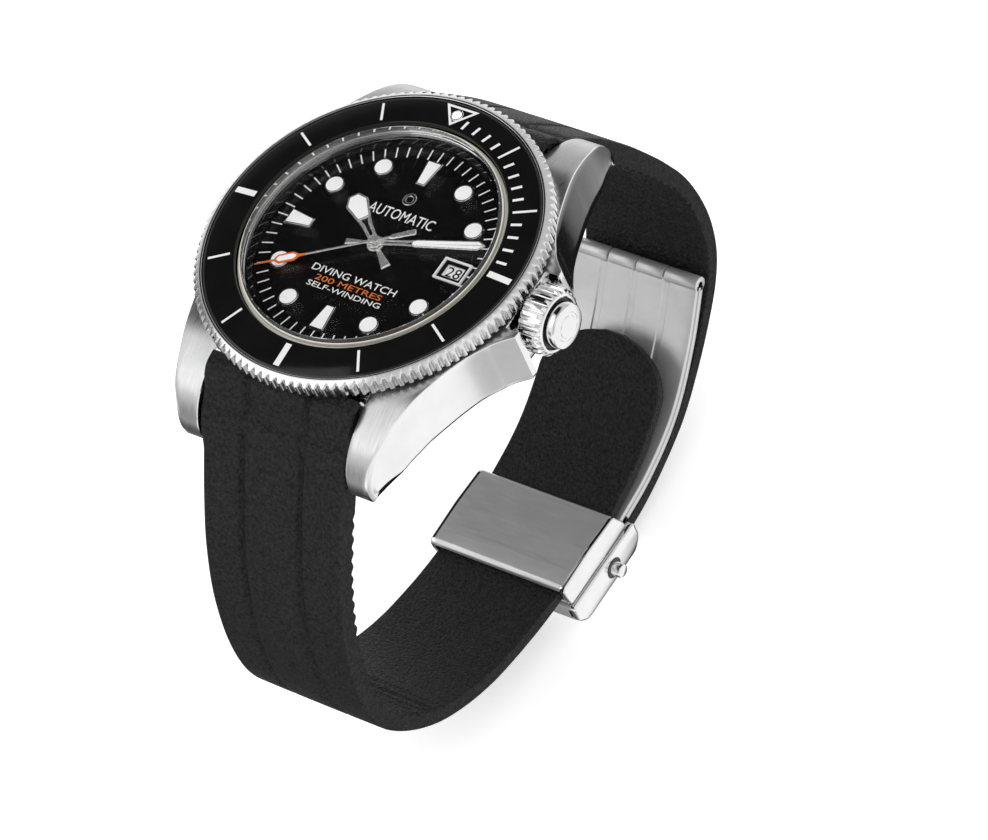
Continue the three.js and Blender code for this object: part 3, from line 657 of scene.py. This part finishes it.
def frame_line(outer, inner):
    """A closed line between two outlines of equal count, laid on the insert."""
    corners = ((outer, MARK_LOW), (outer, MARK_HIGH), (inner, MARK_HIGH), (inner, MARK_LOW))
    marks.grid([[on_insert(p, z) for p in line] for line, z in corners], close=True, loop=True)


def raised(profile, z):
    return [(r, z + h) for r, h in profile]


def subdivide(points, parts):
    """A closed outline with each edge cut in equal parts."""
    made = []
    for a, b in zip(points, points[1:] + points[:1]):
        for k in range(parts):
            made.append((a[0] + (b[0] - a[0]) * k / parts, a[1] + (b[1] - a[1]) * k / parts))
    return made


triangle = [(-2.25, 19.2), (0, 16.3), (2.25, 19.2)]
frame_line(subdivide(shrink(triangle, 0.0), 8), subdivide(shrink(triangle, 0.30), 8))
build("insert_marks", marks, [PRINT], "bezel")

pip = Shape()
PIP_Y = middle_yz("bezel_pip")[0]
pip_z = insert_z(PIP_Y)
cup = [(0.52, -0.3), (0.78, -0.3), (0.78, 0.10), (0.72, 0.16), (0.62, 0.16), (0.55, 0.08)]
pip.lathe(raised(cup, pip_z), 40, y=PIP_Y)
dome = [(0.56 * math.cos(a), 0.02 + 0.14 * math.sin(a)) for a in np.linspace(0, math.pi / 2, 7)[:-1]]
pip.lathe(raised([(0.56, -0.2), *dome, (0.0, 0.16)], pip_z), 40, closed=False, mark=1, y=PIP_Y)
build("pip_in_cup", pip, [POLISHED, LUME], "bezel", ["bezel_pip"])

# ---- Crystal, gasket, rehaut ----
crystal = Shape()
crystal.lathe([(0, CRYSTAL_LOW), (CRYSTAL_R - 0.06, CRYSTAL_LOW), (CRYSTAL_R, CRYSTAL_LOW + 0.06),
               (CRYSTAL_R, CRYSTAL_TOP - 0.20), (CRYSTAL_R - 0.03, CRYSTAL_TOP - 0.15),
               (CRYSTAL_R - 0.16, CRYSTAL_TOP - 0.02), (CRYSTAL_R - 0.21, CRYSTAL_TOP),
               (0, CRYSTAL_TOP)], 200)
glass = build("crystal_glass", crystal, [GLASS], "case", ["crystal"], angle=20)
glass.visible_shadow = False

# The gasket's inner wall is near-black: painted shade.
gasket = Shape()
gasket.lathe([(15.2, 9.95), (15.7, 9.95), (15.7, 11.5), (15.38, 11.6), (15.36, 12.08), (15.2, 12.1)],
             144, mark=lambda i, k: 1 if i == 5 else 0)
build("crystal_seal", gasket, [NYLON, PAINTED_SHADE_FILL], "case", ["crystal_gasket"])

rehaut = Shape()
rehaut.lathe([(14.3, DIAL_TOP + 0.06), (14.9, DIAL_TOP + 0.06), (14.9, 9.76), (14.62, 9.76)], 200)
build("rehaut_wall", rehaut, [CHROME_BLACK], "case", ["rehaut_ring"])

# ---- Dial ----
plate = Shape()
LEDGE = 0.62  # from the date frame's outer edge to the opening in the dial
WEST, EAST = DATE_LOW[0] + LEDGE, DATE_HIGH[0] - LEDGE
SOUTH, NORTH = DATE_LOW[1] + LEDGE, DATE_HIGH[1] - LEDGE


def dial_face(z):
    """The dial's face as patches that leave the date window open."""
    xs = sorted({-DIAL_R, WEST, EAST, DIAL_R, *np.linspace(-14.5, 14.5, 30).round(3)})
    ys = sorted({SOUTH, NORTH, *np.linspace(-DIAL_R, DIAL_R, 30).round(3)})
    for x0, x1 in zip(xs, xs[1:]):
        for y0, y1 in zip(ys, ys[1:]):
            across = x0 > WEST - TINY and x1 < EAST + TINY
            if across and y0 > SOUTH - TINY and y1 < NORTH + TINY:
                continue
            corners = []
            for x, y in ((x0, y0), (x1, y0), (x1, y1), (x0, y1)):
                k = min(1.0, DIAL_R / max(math.hypot(x, y), 0.001))
                corners.append((x * k, y * k, z))
            plate.cap(corners)


dial_face(DIAL_LOW)
dial_face(DIAL_TOP)
hole = [(WEST, SOUTH), (EAST, SOUTH), (EAST, NORTH), (WEST, NORTH)]
plate.grid([[(*p, DIAL_LOW) for p in hole], [(*p, DIAL_TOP) for p in hole]], close=True)
build("dial_plate", plate, [LACQUER], "case", ["dial"], angle=20)

track = Shape()
for minute in range(60):
    tick = turned(bar_outline(12.6, 14.0, 0.16), 90 - 6 * minute)
    track.block(tick, DIAL_TOP - 0.05, DIAL_TOP + 0.012, 0.0)
build("minute_track", track, [DIAL_PRINT], "case")

MARKER_TOP = DIAL_TOP + 0.25
BAR_HOURS = (12, 6, 9)
ROUND_HOURS = (1, 2, 4, 5, 7, 8, 10, 11)
markers = Shape()


def rim(shape, outline, *stops):
    """A closed frame inside an outline, its section given by (inset, height) stops."""
    rows = [[(*p, z) for p in shrink(outline, inset)] for inset, z in stops]
    shape.grid(rows, close=True, loop=True)


def marker(outline, width=0.20):
    """A polished cup round its luminous filling."""
    low, high = DIAL_TOP - 0.05, MARKER_TOP
    rim(markers, outline, (0, low), (0, high - 0.06), (0.05, high), (width - 0.04, high),
        (width, high - 0.05), (width, low))
    markers.block(shrink(outline, width - 0.01), DIAL_TOP - 0.04, high + 0.02, 0.07, mark=1)


for hour in ROUND_HOURS:
    marker(circle(1.18, 48, *turned([(11.29, 0)], 90 - 30 * hour)[0]))
for hour in BAR_HOURS:
    bar = [(9.05, -0.62), (12.45, -1.05), (12.45, 1.05), (9.05, 0.62)]
    marker(turned(bar, 90 - 30 * hour))
build("hour_markers", markers, [POLISHED, LUME], "case")

stems = Shape()
for hour in ROUND_HOURS:
    stem = turned(bar_outline(12.4, 12.9, 0.18), 90 - 30 * hour)
    stems.block(stem, DIAL_TOP - 0.04, DIAL_TOP + 0.03, 0.0)
build("marker_stems", stems, [POLISHED], "case")

date = Shape()
(x0, y0), (x1, y1) = DATE_LOW[:2], DATE_HIGH[:2]
low, high = DIAL_TOP - 0.05, DIAL_TOP + 0.28
rim(date, [(x0, y0), (x1, y0), (x1, y1), (x0, y1)], (0, low), (0, high - 0.05), (0.03, high),
    (0.18, high), (0.21, high - 0.05), (0.21, low))
build("date_frame", date, [DIAL_PRINT], "case", ["date_window_frame"], angle=20)

disc = Shape()
disc.lathe([(9, DISC_TOP - 0.3), (13.4, DISC_TOP - 0.3), (13.4, DISC_TOP), (9, DISC_TOP)], 144)
build("date_disc", disc, [DIAL_PRINT], "date", ["date_ring"])


def lettering(name, words, width, height, x, y, z, material, body):
    """Plain words or figures of that width and height, as a thin raised mesh centred on x, y."""
    curve = bpy.data.curves.new(name + "_line", "FONT")
    curve.body = words
    curve.extrude = 0.01
    curve.resolution_u = 3
    holder = linked(name + "_line", curve)
    bpy.context.view_layer.update()
    graph = bpy.context.evaluated_depsgraph_get()
    mesh = bpy.data.meshes.new_from_object(holder.evaluated_get(graph))
    bpy.data.objects.remove(holder)
    mesh.name = name
    at = np.array([v.co for v in mesh.vertices])
    low, high = at.min(0), at.max(0)
    middle = (low + high) / 2
    grow = (width / (high[0] - low[0]), height / (high[1] - low[1]), 1)
    to_metres = Matrix.Diagonal((MM, MM, MM, 1)) @ Matrix.Translation((x, y, z))
    centred = Matrix.Translation((-middle[0], -middle[1], 0))
    mesh.transform(to_metres @ Matrix.Diagonal((*grow, 1)) @ centred)
    mesh.materials.clear()
    mesh.materials.append(material)
    piece = linked(name, mesh)
    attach(piece, body)


DATE_X = (DATE_LOW[0] + DATE_HIGH[0]) / 2
WORD_Z = DIAL_TOP + 0.02
lettering("date_figure", "28", 1.85, 1.35, DATE_X, 0, DISC_TOP + 0.012, LACQUER, "date")
lettering("dial_word_upper", "AUTOMATIC", 9.0, 1.4, 0.4, 4.6, WORD_Z, DIAL_PRINT, "case")
lettering("dial_word_1", "DIVING WATCH", 11.6, 0.92, 0.3, -4.95, WORD_Z, DIAL_PRINT, "case")
lettering("dial_word_2", "200 METRES", 9.2, 0.74, 0.25, -6.1, WORD_Z, ORANGE, "case")
lettering("dial_word_3", "SELF-WINDING", 10.2, 0.70, 0.25, -7.1, WORD_Z, DIAL_PRINT, "case")
mark = Shape()
loop = [(0.42, -0.02), (0.85, -0.02), (0.85, 0.08), (0.78, 0.12), (0.49, 0.12), (0.42, 0.08)]
mark.lathe(raised(loop, DIAL_TOP), 40, y=6.9)
build("dial_mark", mark, [POLISHED], "case")


# ---- Hands ----
def ring_block(shape, outline, width, low, high, bevel, mark=0):
    """A frame inside an outline with bevelled upper edges."""
    outside, inside = shrink(outline, 0), shrink(outline, width)
    near = bevel * 0.6
    levels = ((outside, low), (outside, high - bevel), (shrink(outside, bevel), high),
              (shrink(inside, -near), high), (inside, high - near), (inside, low))
    shape.grid([[(*p, z) for p in line] for line, z in levels], close=True, loop=True, mark=mark)


def faceted(shape, outline, low, high, ridge, mark=0):
    """A blade with a ridge line: the outline's upper edge slopes in towards the middle."""
    stops = ((0, low), (0, low + (high - low) * 0.35), (ridge, high))
    rows = [[(*p, z) for p in shrink(outline, inset)] for inset, z in stops]
    shape.grid(rows, close=True, mark=mark)
    shape.cap(rows[0], mark)
    shape.cap(rows[-1], mark)


def mirror(points):
    """A closed outline from its upper half."""
    return [*points, *[(x, -y) for x, y in reversed(points)]]


def hand_piece(name, parts, degrees, body, node):
    """parts fills a Shape in the hand's own frame, along +X, and the result is turned to its angle."""
    shape = Shape()
    parts(shape)
    flat = turned([(x, y) for x, y, z in shape.points], degrees)
    shape.points = [(*p, z) for p, (_, _, z) in zip(flat, shape.points)]
    build(name, shape, [HAND_STEEL, LUME, ORANGE], body, [node], angle=22)


def hour_parts(shape):
    low, high = HOUR_Z, HOUR_Z + 0.2
    head = mirror([(8.15, 0.62), (6.9, 1.36), (4.2, 0.80)])
    ring_block(shape, head, 0.26, low, high, 0.06)
    shape.block(shrink(head, 0.25), low + 0.02, high + 0.015, 0.05, mark=1)
    for s in (1, -1):
        stem = [(4.3, s * 0.78), (4.3, s * 0.50), (3.3, s * 0.22), (0.9, s * 0.16), (0.9, s * 0.52),
                (3.1, s * 0.62)]
        shape.block(stem, low, high, 0.06)
    tail = mirror([(-3.85, 0.58), (-1.7, 0.30), (-0.8, 0.24)])
    faceted(shape, tail, low, high, 0.14)
    shape.lathe([(0.78, low), (1.02, low), (1.02, high - 0.05), (0.97, high), (0.78, high)], 48)


def minute_parts(shape):
    low, high = MINUTE_Z, MINUTE_Z + 0.17
    blade = mirror([(13.35, 0.04), (12.5, 0.62), (5.0, 0.50), (4.5, 0.30)])
    ring_block(shape, blade, 0.17, low, high, 0.05)
    shape.block(shrink(blade, 0.16), low + 0.02, high + 0.01, 0.04, mark=1)
    for s in (1, -1):
        stem = [(4.9, s * 0.42), (4.9, s * 0.22), (3.9, s * 0.08), (0.8, s * 0.10), (0.8, s * 0.38),
                (3.4, s * 0.34)]
        shape.block(stem, low, high, 0.05)
    tail = mirror([(-3.55, 0.42), (-1.5, 0.22), (-0.7, 0.2)])
    faceted(shape, tail, low, high, 0.12)
    shape.lathe([(0.47, low), (0.88, low), (0.88, high - 0.05), (0.83, high), (0.47, high)], 48)


def seconds_parts(shape):
    low, high = SECONDS_Z, SECONDS_Z + 0.12
    orange = 2
    faceted(shape, mirror([(13.95, 0.07), (11.3, 0.15)]), low, high, 0.05, orange)
    head = mirror([(11.55, 0.24), (11.1, 0.62), (9.3, 0.62), (8.75, 0.24)])
    ring_block(shape, head, 0.26, low, high + 0.02, 0.04, orange)
    shape.block(shrink(head, 0.25), low + 0.02, high + 0.02, 0.03, mark=1)
    faceted(shape, mirror([(8.85, 0.2), (7.9, 0.13)]), low, high, 0.05, orange)
    faceted(shape, mirror([(8.0, 0.12), (0.4, 0.15)]), low, high, 0.06)
    faceted(shape, mirror([(-0.4, 0.16), (-1.9, 0.16)]), low, high, 0.06)
    faceted(shape, mirror([(-4.95, 0.3), (-4.75, 0.42), (-2.2, 0.34), (-1.8, 0.16)]), low, high, 0.1)
    shape.lathe([(0, low), (0.66, low), (0.66, high + 0.1), (0.6, high + 0.2), (0.38, high + 0.26),
                 (0, high + 0.27)], 48, closed=False)


hand_piece("hour_hand_fine", hour_parts, HOUR_ANGLE, "hours", "hour_hand")
hand_piece("minute_hand_fine", minute_parts, MINUTE_ANGLE, "minutes", "minute_hand")
hand_piece("seconds_hand_fine", seconds_parts, SECONDS_ANGLE, "seconds",
           "seconds_hand")

# ---- Crown ----
crown = Shape()
FLUTES = 24
PER_FLUTE = 16  # points along one flute
FLUTE_DEPTH = 0.42


def flute_radius(phase):
    q = abs(phase - 0.5) * 2
    return CROWN_R - FLUTE_DEPTH * math.sqrt(max(0.0, 1 - (q / 0.62) ** 2))


base = CROWN_LOW[0]
side = [(0, 2.2), (0, CROWN_R - 0.35), (0.12, CROWN_R - 0.12), (0.32, CROWN_R), (2.25, CROWN_R),
        (2.45, CROWN_R - 0.06), (2.7, CROWN_R - 0.22), (2.9, CROWN_R - 0.48), (2.98, CROWN_R - 0.62),
        (3.0, 3.16), (2.92, 3.02), (2.55, 2.96), (2.5, 2.0)]
rows = []
for x, r in side:
    row = []
    for i in range(FLUTES * PER_FLUTE):
        a = 2 * math.pi * i / (FLUTES * PER_FLUTE)
        out = min(r, flute_radius(i % PER_FLUTE / PER_FLUTE))
        row.append((base + x, out * math.cos(a), CROWN_Z + out * math.sin(a)))
    rows.append(row)
# The hollow round the crown's end button is near-black: painted shade.
crown.grid(rows, close=True, mark=lambda i, k: 1 if i >= 10 else 0)
button = [(2.4, 0.0), (2.4, 2.62), (3.75, 2.66), (3.98, 2.62), (4.10, 2.52), (4.15, 2.36), (4.15, 1.72),
          (4.09, 1.66), (4.09, 1.34), (4.15, 1.28), (4.15, 0.0)]
turn_x(crown, [(base + x, r) for x, r in button], 0, CROWN_Z, 72)
build("crown_fine", crown, [POLISHED, PAINTED_SHADE_FILL], "crown", ["crown"], angle=30)

# ---- Straps ----
# (y, z) lines of the straps' outer faces, from the lugs on
LONG_STRAP = [
    (-22.7, 5.68), (-23.4, 5.42), (-24, 5), (-26.1, 1.9), (-29.6, -3.8), (-32.6, -9.4), (-35.3, -16.7),
    (-36.6, -24.9), (-36, -30.8), (-33.7, -35.4), (-28.2, -41.2), (-20, -45.6), (-11.3, -47.6),
    (-4, -48.2), (3, -48.25), (8, -47.75), (14.5, -46.1), (20.5, -42.9), (26.3, -38.3),
]
SHORT_STRAP = [
    (22.7, 5.7), (23.4, 5.46), (24, 5.1), (27.5, 0.9), (31, -4.3), (33.4, -8.6), (35.7, -13.2),
    (37.7, -18.2), (38.8, -23.6), (38.9, -28.2), (38, -32.6), (36, -36.3), (32.6, -40.1),
    (28.4, -43.9), (23.1, -47.75), (15.4, -50.85), (10, -52), (7.4, -52.05),
]
# how the straps' thickness and half width run from the lugs to their ends
long_thick = steps_of((0, 3.2), (0.25, 2.7), (0.5, 2.1), (0.65, 1.9), (1, 1.8))
short_thick = steps_of((0, 3.2), (0.25, 2.6), (0.45, 2.1), (0.6, 1.9), (1, 1.8))
long_wide = steps_of((0.03, STRAP_HALF), (0.055, 9.8), (0.45, 9.25), (0.6, 8.9), (1, 8.7))
short_wide = steps_of((0.04, STRAP_HALF), (0.07, 9.8), (0.6, 9.1), (0.94, 8.7), (1, 8.6))
ROUND = [(math.sin(a), 1 - math.cos(a)) for a in np.linspace(0, math.pi / 2, 5)]
GROOVE_AT = 4.2
GROOVE_HALF = 0.42
GROOVE = 0.42
RIB = 0.34
RIB_PITCH = 1.75


def strap_section(width, thickness, groove_depth, rib_depth, s, groove_at=GROOVE_AT):
    """One section of a strap: outer face with two grooves, round edges, ribbed inner face."""
    r = min(0.45, width * 0.5, thickness * 0.3)
    xs = list(np.linspace(-1, 1, 9) * (width - r))
    for g in (-groove_at, groove_at):
        xs += [g + step for step in (-0.55, -0.3, -0.14, 0, 0.14, 0.3, 0.55)]
    face = []
    for x in sorted(xs):
        q = min(abs(x - groove_at), abs(x + groove_at)) / GROOVE_HALF
        groove = groove_depth * (1 - q * q) ** 0.7 if q < 1 else 0.0
        face.append((x, groove + 0.05 * (x / max(width, 0.1)) ** 2))
    right = [(width - r + r * a, 0.05 + r * b) for a, b in ROUND[1:]]
    ribs = rib_depth * (0.5 - 0.5 * math.cos(2 * math.pi * s / RIB_PITCH))
    bottom = thickness - ribs
    low_r = min(0.3, r)
    right_low = [(width - low_r * (1 - math.cos(a)), bottom - low_r * (1 - math.sin(a)))
                 for a in np.linspace(0, math.pi / 2, 4)]
    inner = [(x, bottom) for x in np.linspace(1, -1, 9)[1:-1] * (width - low_r)]
    edge = [*right, *right_low]
    return [*face, *edge, *inner, *[(-x, d) for x, d in reversed(edge)]]


TIP = 0.06  # the share of the long strap that is its round tip


def long_section(u, s):
    way = max(0.0, (min(u, 0.9992) - 1 + TIP) / TIP)
    width = long_wide(u) * math.sqrt(1 - way ** 2)
    grooves = GROOVE * (1 - ease((u - 0.50) / 0.05))
    ribs = RIB * ease((u - 0.07) / 0.02) * (1 - ease((u - 0.46) / 0.04))
    thick = long_thick(u)
    if way > 0:
        thick *= 0.55 + 0.45 * math.sqrt(1 - way ** 2)
    return strap_section(width, thick, grooves, ribs, s, min(GROOVE_AT, width * 0.42))


def short_section(u, s):
    grooves = GROOVE * (1 - ease((u - 0.62) / 0.05))
    ribs = RIB * ease((u - 0.06) / 0.02) * (1 - ease((u - 0.40) / 0.04))
    return strap_section(short_wide(u), short_thick(u), grooves, ribs, s)


def lug_roll(shape, side):
    """The rubber round the spring bar at a lug."""
    bar_x(shape, 2.3, -STRAP_HALF, STRAP_HALF, side * BAR_Y, BAR_Z, 64, 0.35)


# the (y, z) line over a fitted end, from the bezel down to the lug
END_TOP = [(18.8, 9.55), (19.75, 9.4), (20.7, 9.0), (21.5, 8.1), (22.0, 7.1), (22.5, 6.3), (23.45, 5.3)]


def end_section(u, s):
    return strap_section(STRAP_HALF, 1.0 - 0.8 * u ** 2, GROOVE * (1 - u ** 6), 0.0, s)


for s, node in ((-1, "strap_end_6"), (1, "strap_end_12")):
    end = Shape()
    sweep(end, [(s * y, z) for y, z in END_TOP], 60, end_section, -s)
    under = [(s * 19.75, 8.5), (s * 20.7, 8.0), (s * 21.5, 6.9), (s * 22.0, 5.95), (s * 20.9, 5.5),
             (s * 20.3, 4.95), (s * 19.75, 4.95)]
    end.block(under, -10.1, 10.1, 0.0, place=along_x)
    build(node + "_fine", end, [RUBBER], "case", [node], angle=50)

strap = Shape()
sweep(strap, LONG_STRAP, 620, long_section, 1)
lug_roll(strap, -1)
build("strap_6_fine", strap, [RUBBER], "long_strap", ["strap_6"], angle=50)
strap = Shape()
sweep(strap, SHORT_STRAP, 560, short_section, -1)
lug_roll(strap, 1)
bar_x(strap, 0.95, -8.6, 8.6, *middle_yz("cover_spring_bar"), 40, 0.2)
build("strap_12_fine", strap, [RUBBER], "short_strap", ["strap_12"], angle=50)

# ---- Folding clasp ----
clasp = Shape()
wall = [(-5, -45.6), (-4.5, -45.25), (1, -45), (6.3, -45.25), (7.4, -47.4), (7.6, -48.6), (-4.7, -48.6),
        (-5.05, -46.4)]
wall = round_outline(wall, 0.5)
for s in (1, -1):
    clasp.block(wall, 0, 0.75, 0.22, place=outwards(s, 9.25), mark=1)
arch = [(-5.02, -46.0), (-4.9, -45.55), (-4.45, -45.22), (-2.5, -45.08), (1, -44.98), (4, -45.08),
        (6.2, -45.25), (6.5, -45.6), (6.45, -46.0), (6.1, -46.05), (4, -45.8), (1, -45.72),
        (-2.5, -45.8), (-4.3, -45.95)]
arch = round_outline(arch, 0.12, 3)
grid_with_caps(clasp, [[(x, y, z) for y, z in arch] for x in np.linspace(-9.45, 9.45, 25)])
base = round_outline([(-4.6, -48.95), (7.6, -48.95), (7.6, -48.42), (-4.6, -48.42)], 0.15)
clasp.block(base, -9.3, 9.3, 0.05, place=along_x, bottom_bevel=True)
hook = round_outline([(-2, -51.2), (1.5, -51.2), (1.5, -48.7), (-2, -48.7)], 0.2)
clasp.block(hook, -2, 2, 0.15, place=along_x, bottom_bevel=True)
build("clasp_keeper", clasp, [SATIN, POLISHED], "long_strap", ["clasp_frame"])

cover = Shape()
y0, y1, z0, z1 = COVER_LOW[1], COVER_HIGH[1], COVER_LOW[2], COVER_HIGH[2]
side = round_outline([(y0, z1 - 0.15), (y1, z1 - 0.15), (y1, z0 + 1.4), (y1 - 1.4, z0),
                      (y0 + 1.4, z0), (y0, z0 + 1.4)], 0.6)
for s in (1, -1):
    cover.block(side, 0, 1.05, 0.3, place=outwards(s, 8.95))
shell = [(y0, z1 - 0.2), (y0, z0 + 1.4), (y0 + 1.4, z0), (y1 - 1.4, z0), (y1, z0 + 1.4),
         (y1, z0 + 1.9), (y1 - 0.3, z0 + 1.9), (y1 - 0.75, z0 + 1.5), (y1 - 1.7, z0 + 0.7),
         (y0 + 1.7, z0 + 0.7), (y0 + 0.75, z0 + 1.6), (y0 + 0.75, z1 - 0.2)]
shell = round_outline(shell, 0.25, 3)
cover.block(shell, -9.3, 9.3, 0.02, place=along_x, bottom_bevel=True, mark=1)
# Near-black discs round the buttons: painted shade in the gap round them.
for s in (1, -1):
    cover.block(circle(1.35, 40, *BUTTON_YZ), 0, 0.03, 0.02, place=outwards(s, 9.99), mark=2)
build("clasp_lid", cover, [POLISHED, SATIN, PAINTED_SHADE_FILL], "clasp_cover", ["clasp_cover"])

for s, name in ((1, "button_crown_side"), (-1, "button_far_side")):
    knob = Shape()
    profile = [(8.3, 0.0), (8.3, 1.1), (8.75, 1.1), (8.78, 0.88), (BUTTON_END - 0.25, 0.88),
               (BUTTON_END - 0.07, 0.8), (BUTTON_END, 0.6), (BUTTON_END, 0.0)]
    turn_x(knob, [(s * x, r) for x, r in profile], *BUTTON_YZ, 48)
    build(name + "_knob", knob, [POLISHED], name, [name])

INNER_BLADE = [(32.9, -33.55), (28, -39.2), (21.5, -44.6), (14.5, -47.35), (7.9, -48.35)]
BLADE_HALF = 8.9
BLADE_GROOVES = (-4.6, 0.0, 4.6)
BLADE_GROOVE_HALF = 0.5


def blade_section(near, far, grooved):
    """One section of a blade between two depths, with lengthwise grooves on its inner face."""
    r = 0.16
    xs = list(np.linspace(-1, 1, 9) * (BLADE_HALF - r))
    for g in BLADE_GROOVES:
        xs += [g - 0.7, g - 0.5, g - 0.35, g + 0.35, g + 0.5, g + 0.7]
    top = []
    for x in sorted(xs):
        sunk = grooved and any(abs(x - g) < BLADE_GROOVE_HALF for g in BLADE_GROOVES)
        top.append((x, near + 0.16 if sunk else near))
    turns = np.linspace(0, math.pi / 2, 4)
    right = [(BLADE_HALF - r + r * math.sin(a), near + r * (1 - math.cos(a))) for a in turns[1:]]
    right += [(BLADE_HALF - r * (1 - math.cos(a)), far - r * (1 - math.sin(a))) for a in turns]
    return [*top, *right, *[(-x, d) for x, d in reversed(right)]]


inner_blade = Shape()
sweep(inner_blade, INNER_BLADE, 90, lambda u, s: blade_section(0.0, 0.7, True), 1)
for a, b in ((-4.0, -0.06), (0.06, 4.0)):
    bar_x(inner_blade, KNUCKLE_R, a, b, *KNUCKLE_YZ, 40, 0.15)
build("blade_inner_fine", inner_blade, [SATIN], "long_strap",
      ["clasp_blade_inner"])
outer_blade = Shape()
short_line = [tuple(p) for p in smooth(INNER_BLADE, 60)[0][: 58]]
sweep(outer_blade, short_line, 90, lambda u, s: blade_section(0.85, 1.55, False), 1)
for a, b in ((4.2, BLADE_HALF), (-BLADE_HALF, -4.2)):
    bar_x(outer_blade, KNUCKLE_R, a, b, *KNUCKLE_YZ, 40, 0.15)
build("blade_outer_fine", outer_blade, [SATIN], "clasp_cover", ["clasp_blade_outer"])

# ---- Floor, light and camera ----
REACH = 1.4
FLOOR_GAP = 0.0004
floor_shape = bpy.data.meshes.new("floor")
corners = [(x, y, cad_low[2] - FLOOR_GAP)
           for x, y in ((-REACH, -REACH), (REACH, -REACH), (REACH, REACH), (-REACH, REACH))]
floor_shape.from_pydata(corners, [], [(0, 1, 2, 3)])
floor = linked("floor", floor_shape)
floor_shape.materials.append(finish_of("floor_pale", grey(0.93), grey(0.95), (0.75, 0.85), scale=40,
                                       specular=0.1, spot=3, glow=0.45))
floor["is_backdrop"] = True
floor.visible_glossy = False

# Mirror rays see a studio of soft bright and dark fields; every other ray sees even white.
world = bpy.data.worlds.new("studio")
bpy.context.scene.world = world
world.use_nodes = True
tree = world.node_tree
background = tree.nodes["Background"]
direction = tree.nodes.new("ShaderNodeTexCoord").outputs["Generated"]


# (direction, inner angle, outer angle, strength): a negative strength is a dark flag
FIELDS = [
    ((-0.55, 0.385, 0.745), 15, 31, -0.64),
    ((0.0, 0.2, 0.98), 8, 30, -0.30),
    ((-0.96, -0.25, 0.1), 8, 30, -0.45),
    ((-0.45, -0.75, 0.42), 14, 36, 0.35),
    ((0.60, -0.05, 0.60), 16, 44, 0.35),
    ((-0.506, -0.424, -0.75), 14, 44, -0.98),
    ((-0.08, 0.66, -0.75), 10, 38, -0.95),
    ((-0.13, 0.32, -0.94), 14, 30, -1.05),
    ((-0.55, -0.83, -0.03), 5, 18, -0.85),
    ((0.37, -0.51, -0.75), 10, 34, -0.50),
    ((-0.53, -0.20, 0.83), 8, 24, -0.14),
]
FLOOR_BOUNCE, STUDIO_LIGHT = 1.08, 0.62  # what is mirrored below and above the horizon
DARKEST = 0.01


def combined(operation, a, b):
    """A math node over two sockets or numbers."""
    node = tree.nodes.new("ShaderNodeMath")
    node.operation = operation
    for socket, value in zip(node.inputs, (a, b)):
        if isinstance(value, float):
            socket.default_value = value
        else:
            tree.links.new(value, socket)
    return node.outputs["Value"]


def fading(source, start, end, low, high):
    """A soft step from low to high while the source runs from start to end."""
    node = tree.nodes.new("ShaderNodeMapRange")
    node.interpolation_type = "SMOOTHSTEP"
    for name, value in (("From Min", start), ("From Max", end), ("To Min", low), ("To Max", high)):
        node.inputs[name].default_value = value
    tree.links.new(source, node.inputs["Value"])
    return node.outputs["Result"]


def field(toward, inner, outer, strength):
    """A soft round field round a direction, full inside the inner angle."""
    dot = tree.nodes.new("ShaderNodeVectorMath")
    dot.operation = "DOT_PRODUCT"
    dot.inputs[1].default_value = Vector(toward).normalized()
    tree.links.new(direction, dot.inputs[0])
    edge, full = math.cos(math.radians(outer)), math.cos(math.radians(inner))
    return fading(dot.outputs["Value"], edge, full, 0.0, strength)


height = tree.nodes.new("ShaderNodeSeparateXYZ")
tree.links.new(direction, height.inputs["Vector"])
studio = fading(height.outputs["Z"], -0.2, 0.25, FLOOR_BOUNCE, STUDIO_LIGHT)
for values in FIELDS:
    studio = combined("ADD", studio, field(*values))
path = tree.nodes.new("ShaderNodeLightPath")
mirrored_ray = combined("MAXIMUM", path.outputs["Is Glossy Ray"], path.outputs["Is Transmission Ray"])
undiffused = combined("LESS_THAN", path.outputs["Diffuse Depth"], 0.5)
mix = tree.nodes.new("ShaderNodeMix")
mix.data_type = "FLOAT"
mix.inputs["A"].default_value = 1.0
tree.links.new(combined("MULTIPLY", mirrored_ray, undiffused), mix.inputs["Factor"])
tree.links.new(combined("MAXIMUM", studio, DARKEST), mix.inputs["B"])
tree.links.new(mix.outputs["Result"], background.inputs["Strength"])
background.inputs["Color"].default_value = (1, 1, 1, 1)

key_light = bpy.data.lights.new("key_softbox", "AREA")
key_light.energy = 0.6
key_light.size = 0.5
key = linked("key_softbox", key_light)
key.location = (-0.30, -0.22, 0.45)
key.rotation_euler = (-key.location).to_track_quat("-Z", "Y").to_euler()

LENS_MM, SENSOR_MM = 190.68, 36
CAMERA_AT = (0.323752, -0.233962, 0.430559)
CAMERA_AXES = (  # right, up and towards the viewer
    Vector((0.79726, 0.53084, -0.28739)), Vector((-0.28694, 0.75213, 0.59327)),
    Vector((0.53108, -0.39053, 0.75196)),
)
camera_data = bpy.data.cameras.new("camera")
camera_data.lens = LENS_MM
camera_data.sensor_width = SENSOR_MM
camera_data.clip_start = 0.01
camera = linked("camera", camera_data)
bpy.context.scene.camera = camera
camera.matrix_world = Matrix.Translation(CAMERA_AT) @ Matrix(CAMERA_AXES).transposed().to_4x4()
bpy.context.scene.view_settings.view_transform = "Standard"

low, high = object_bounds()
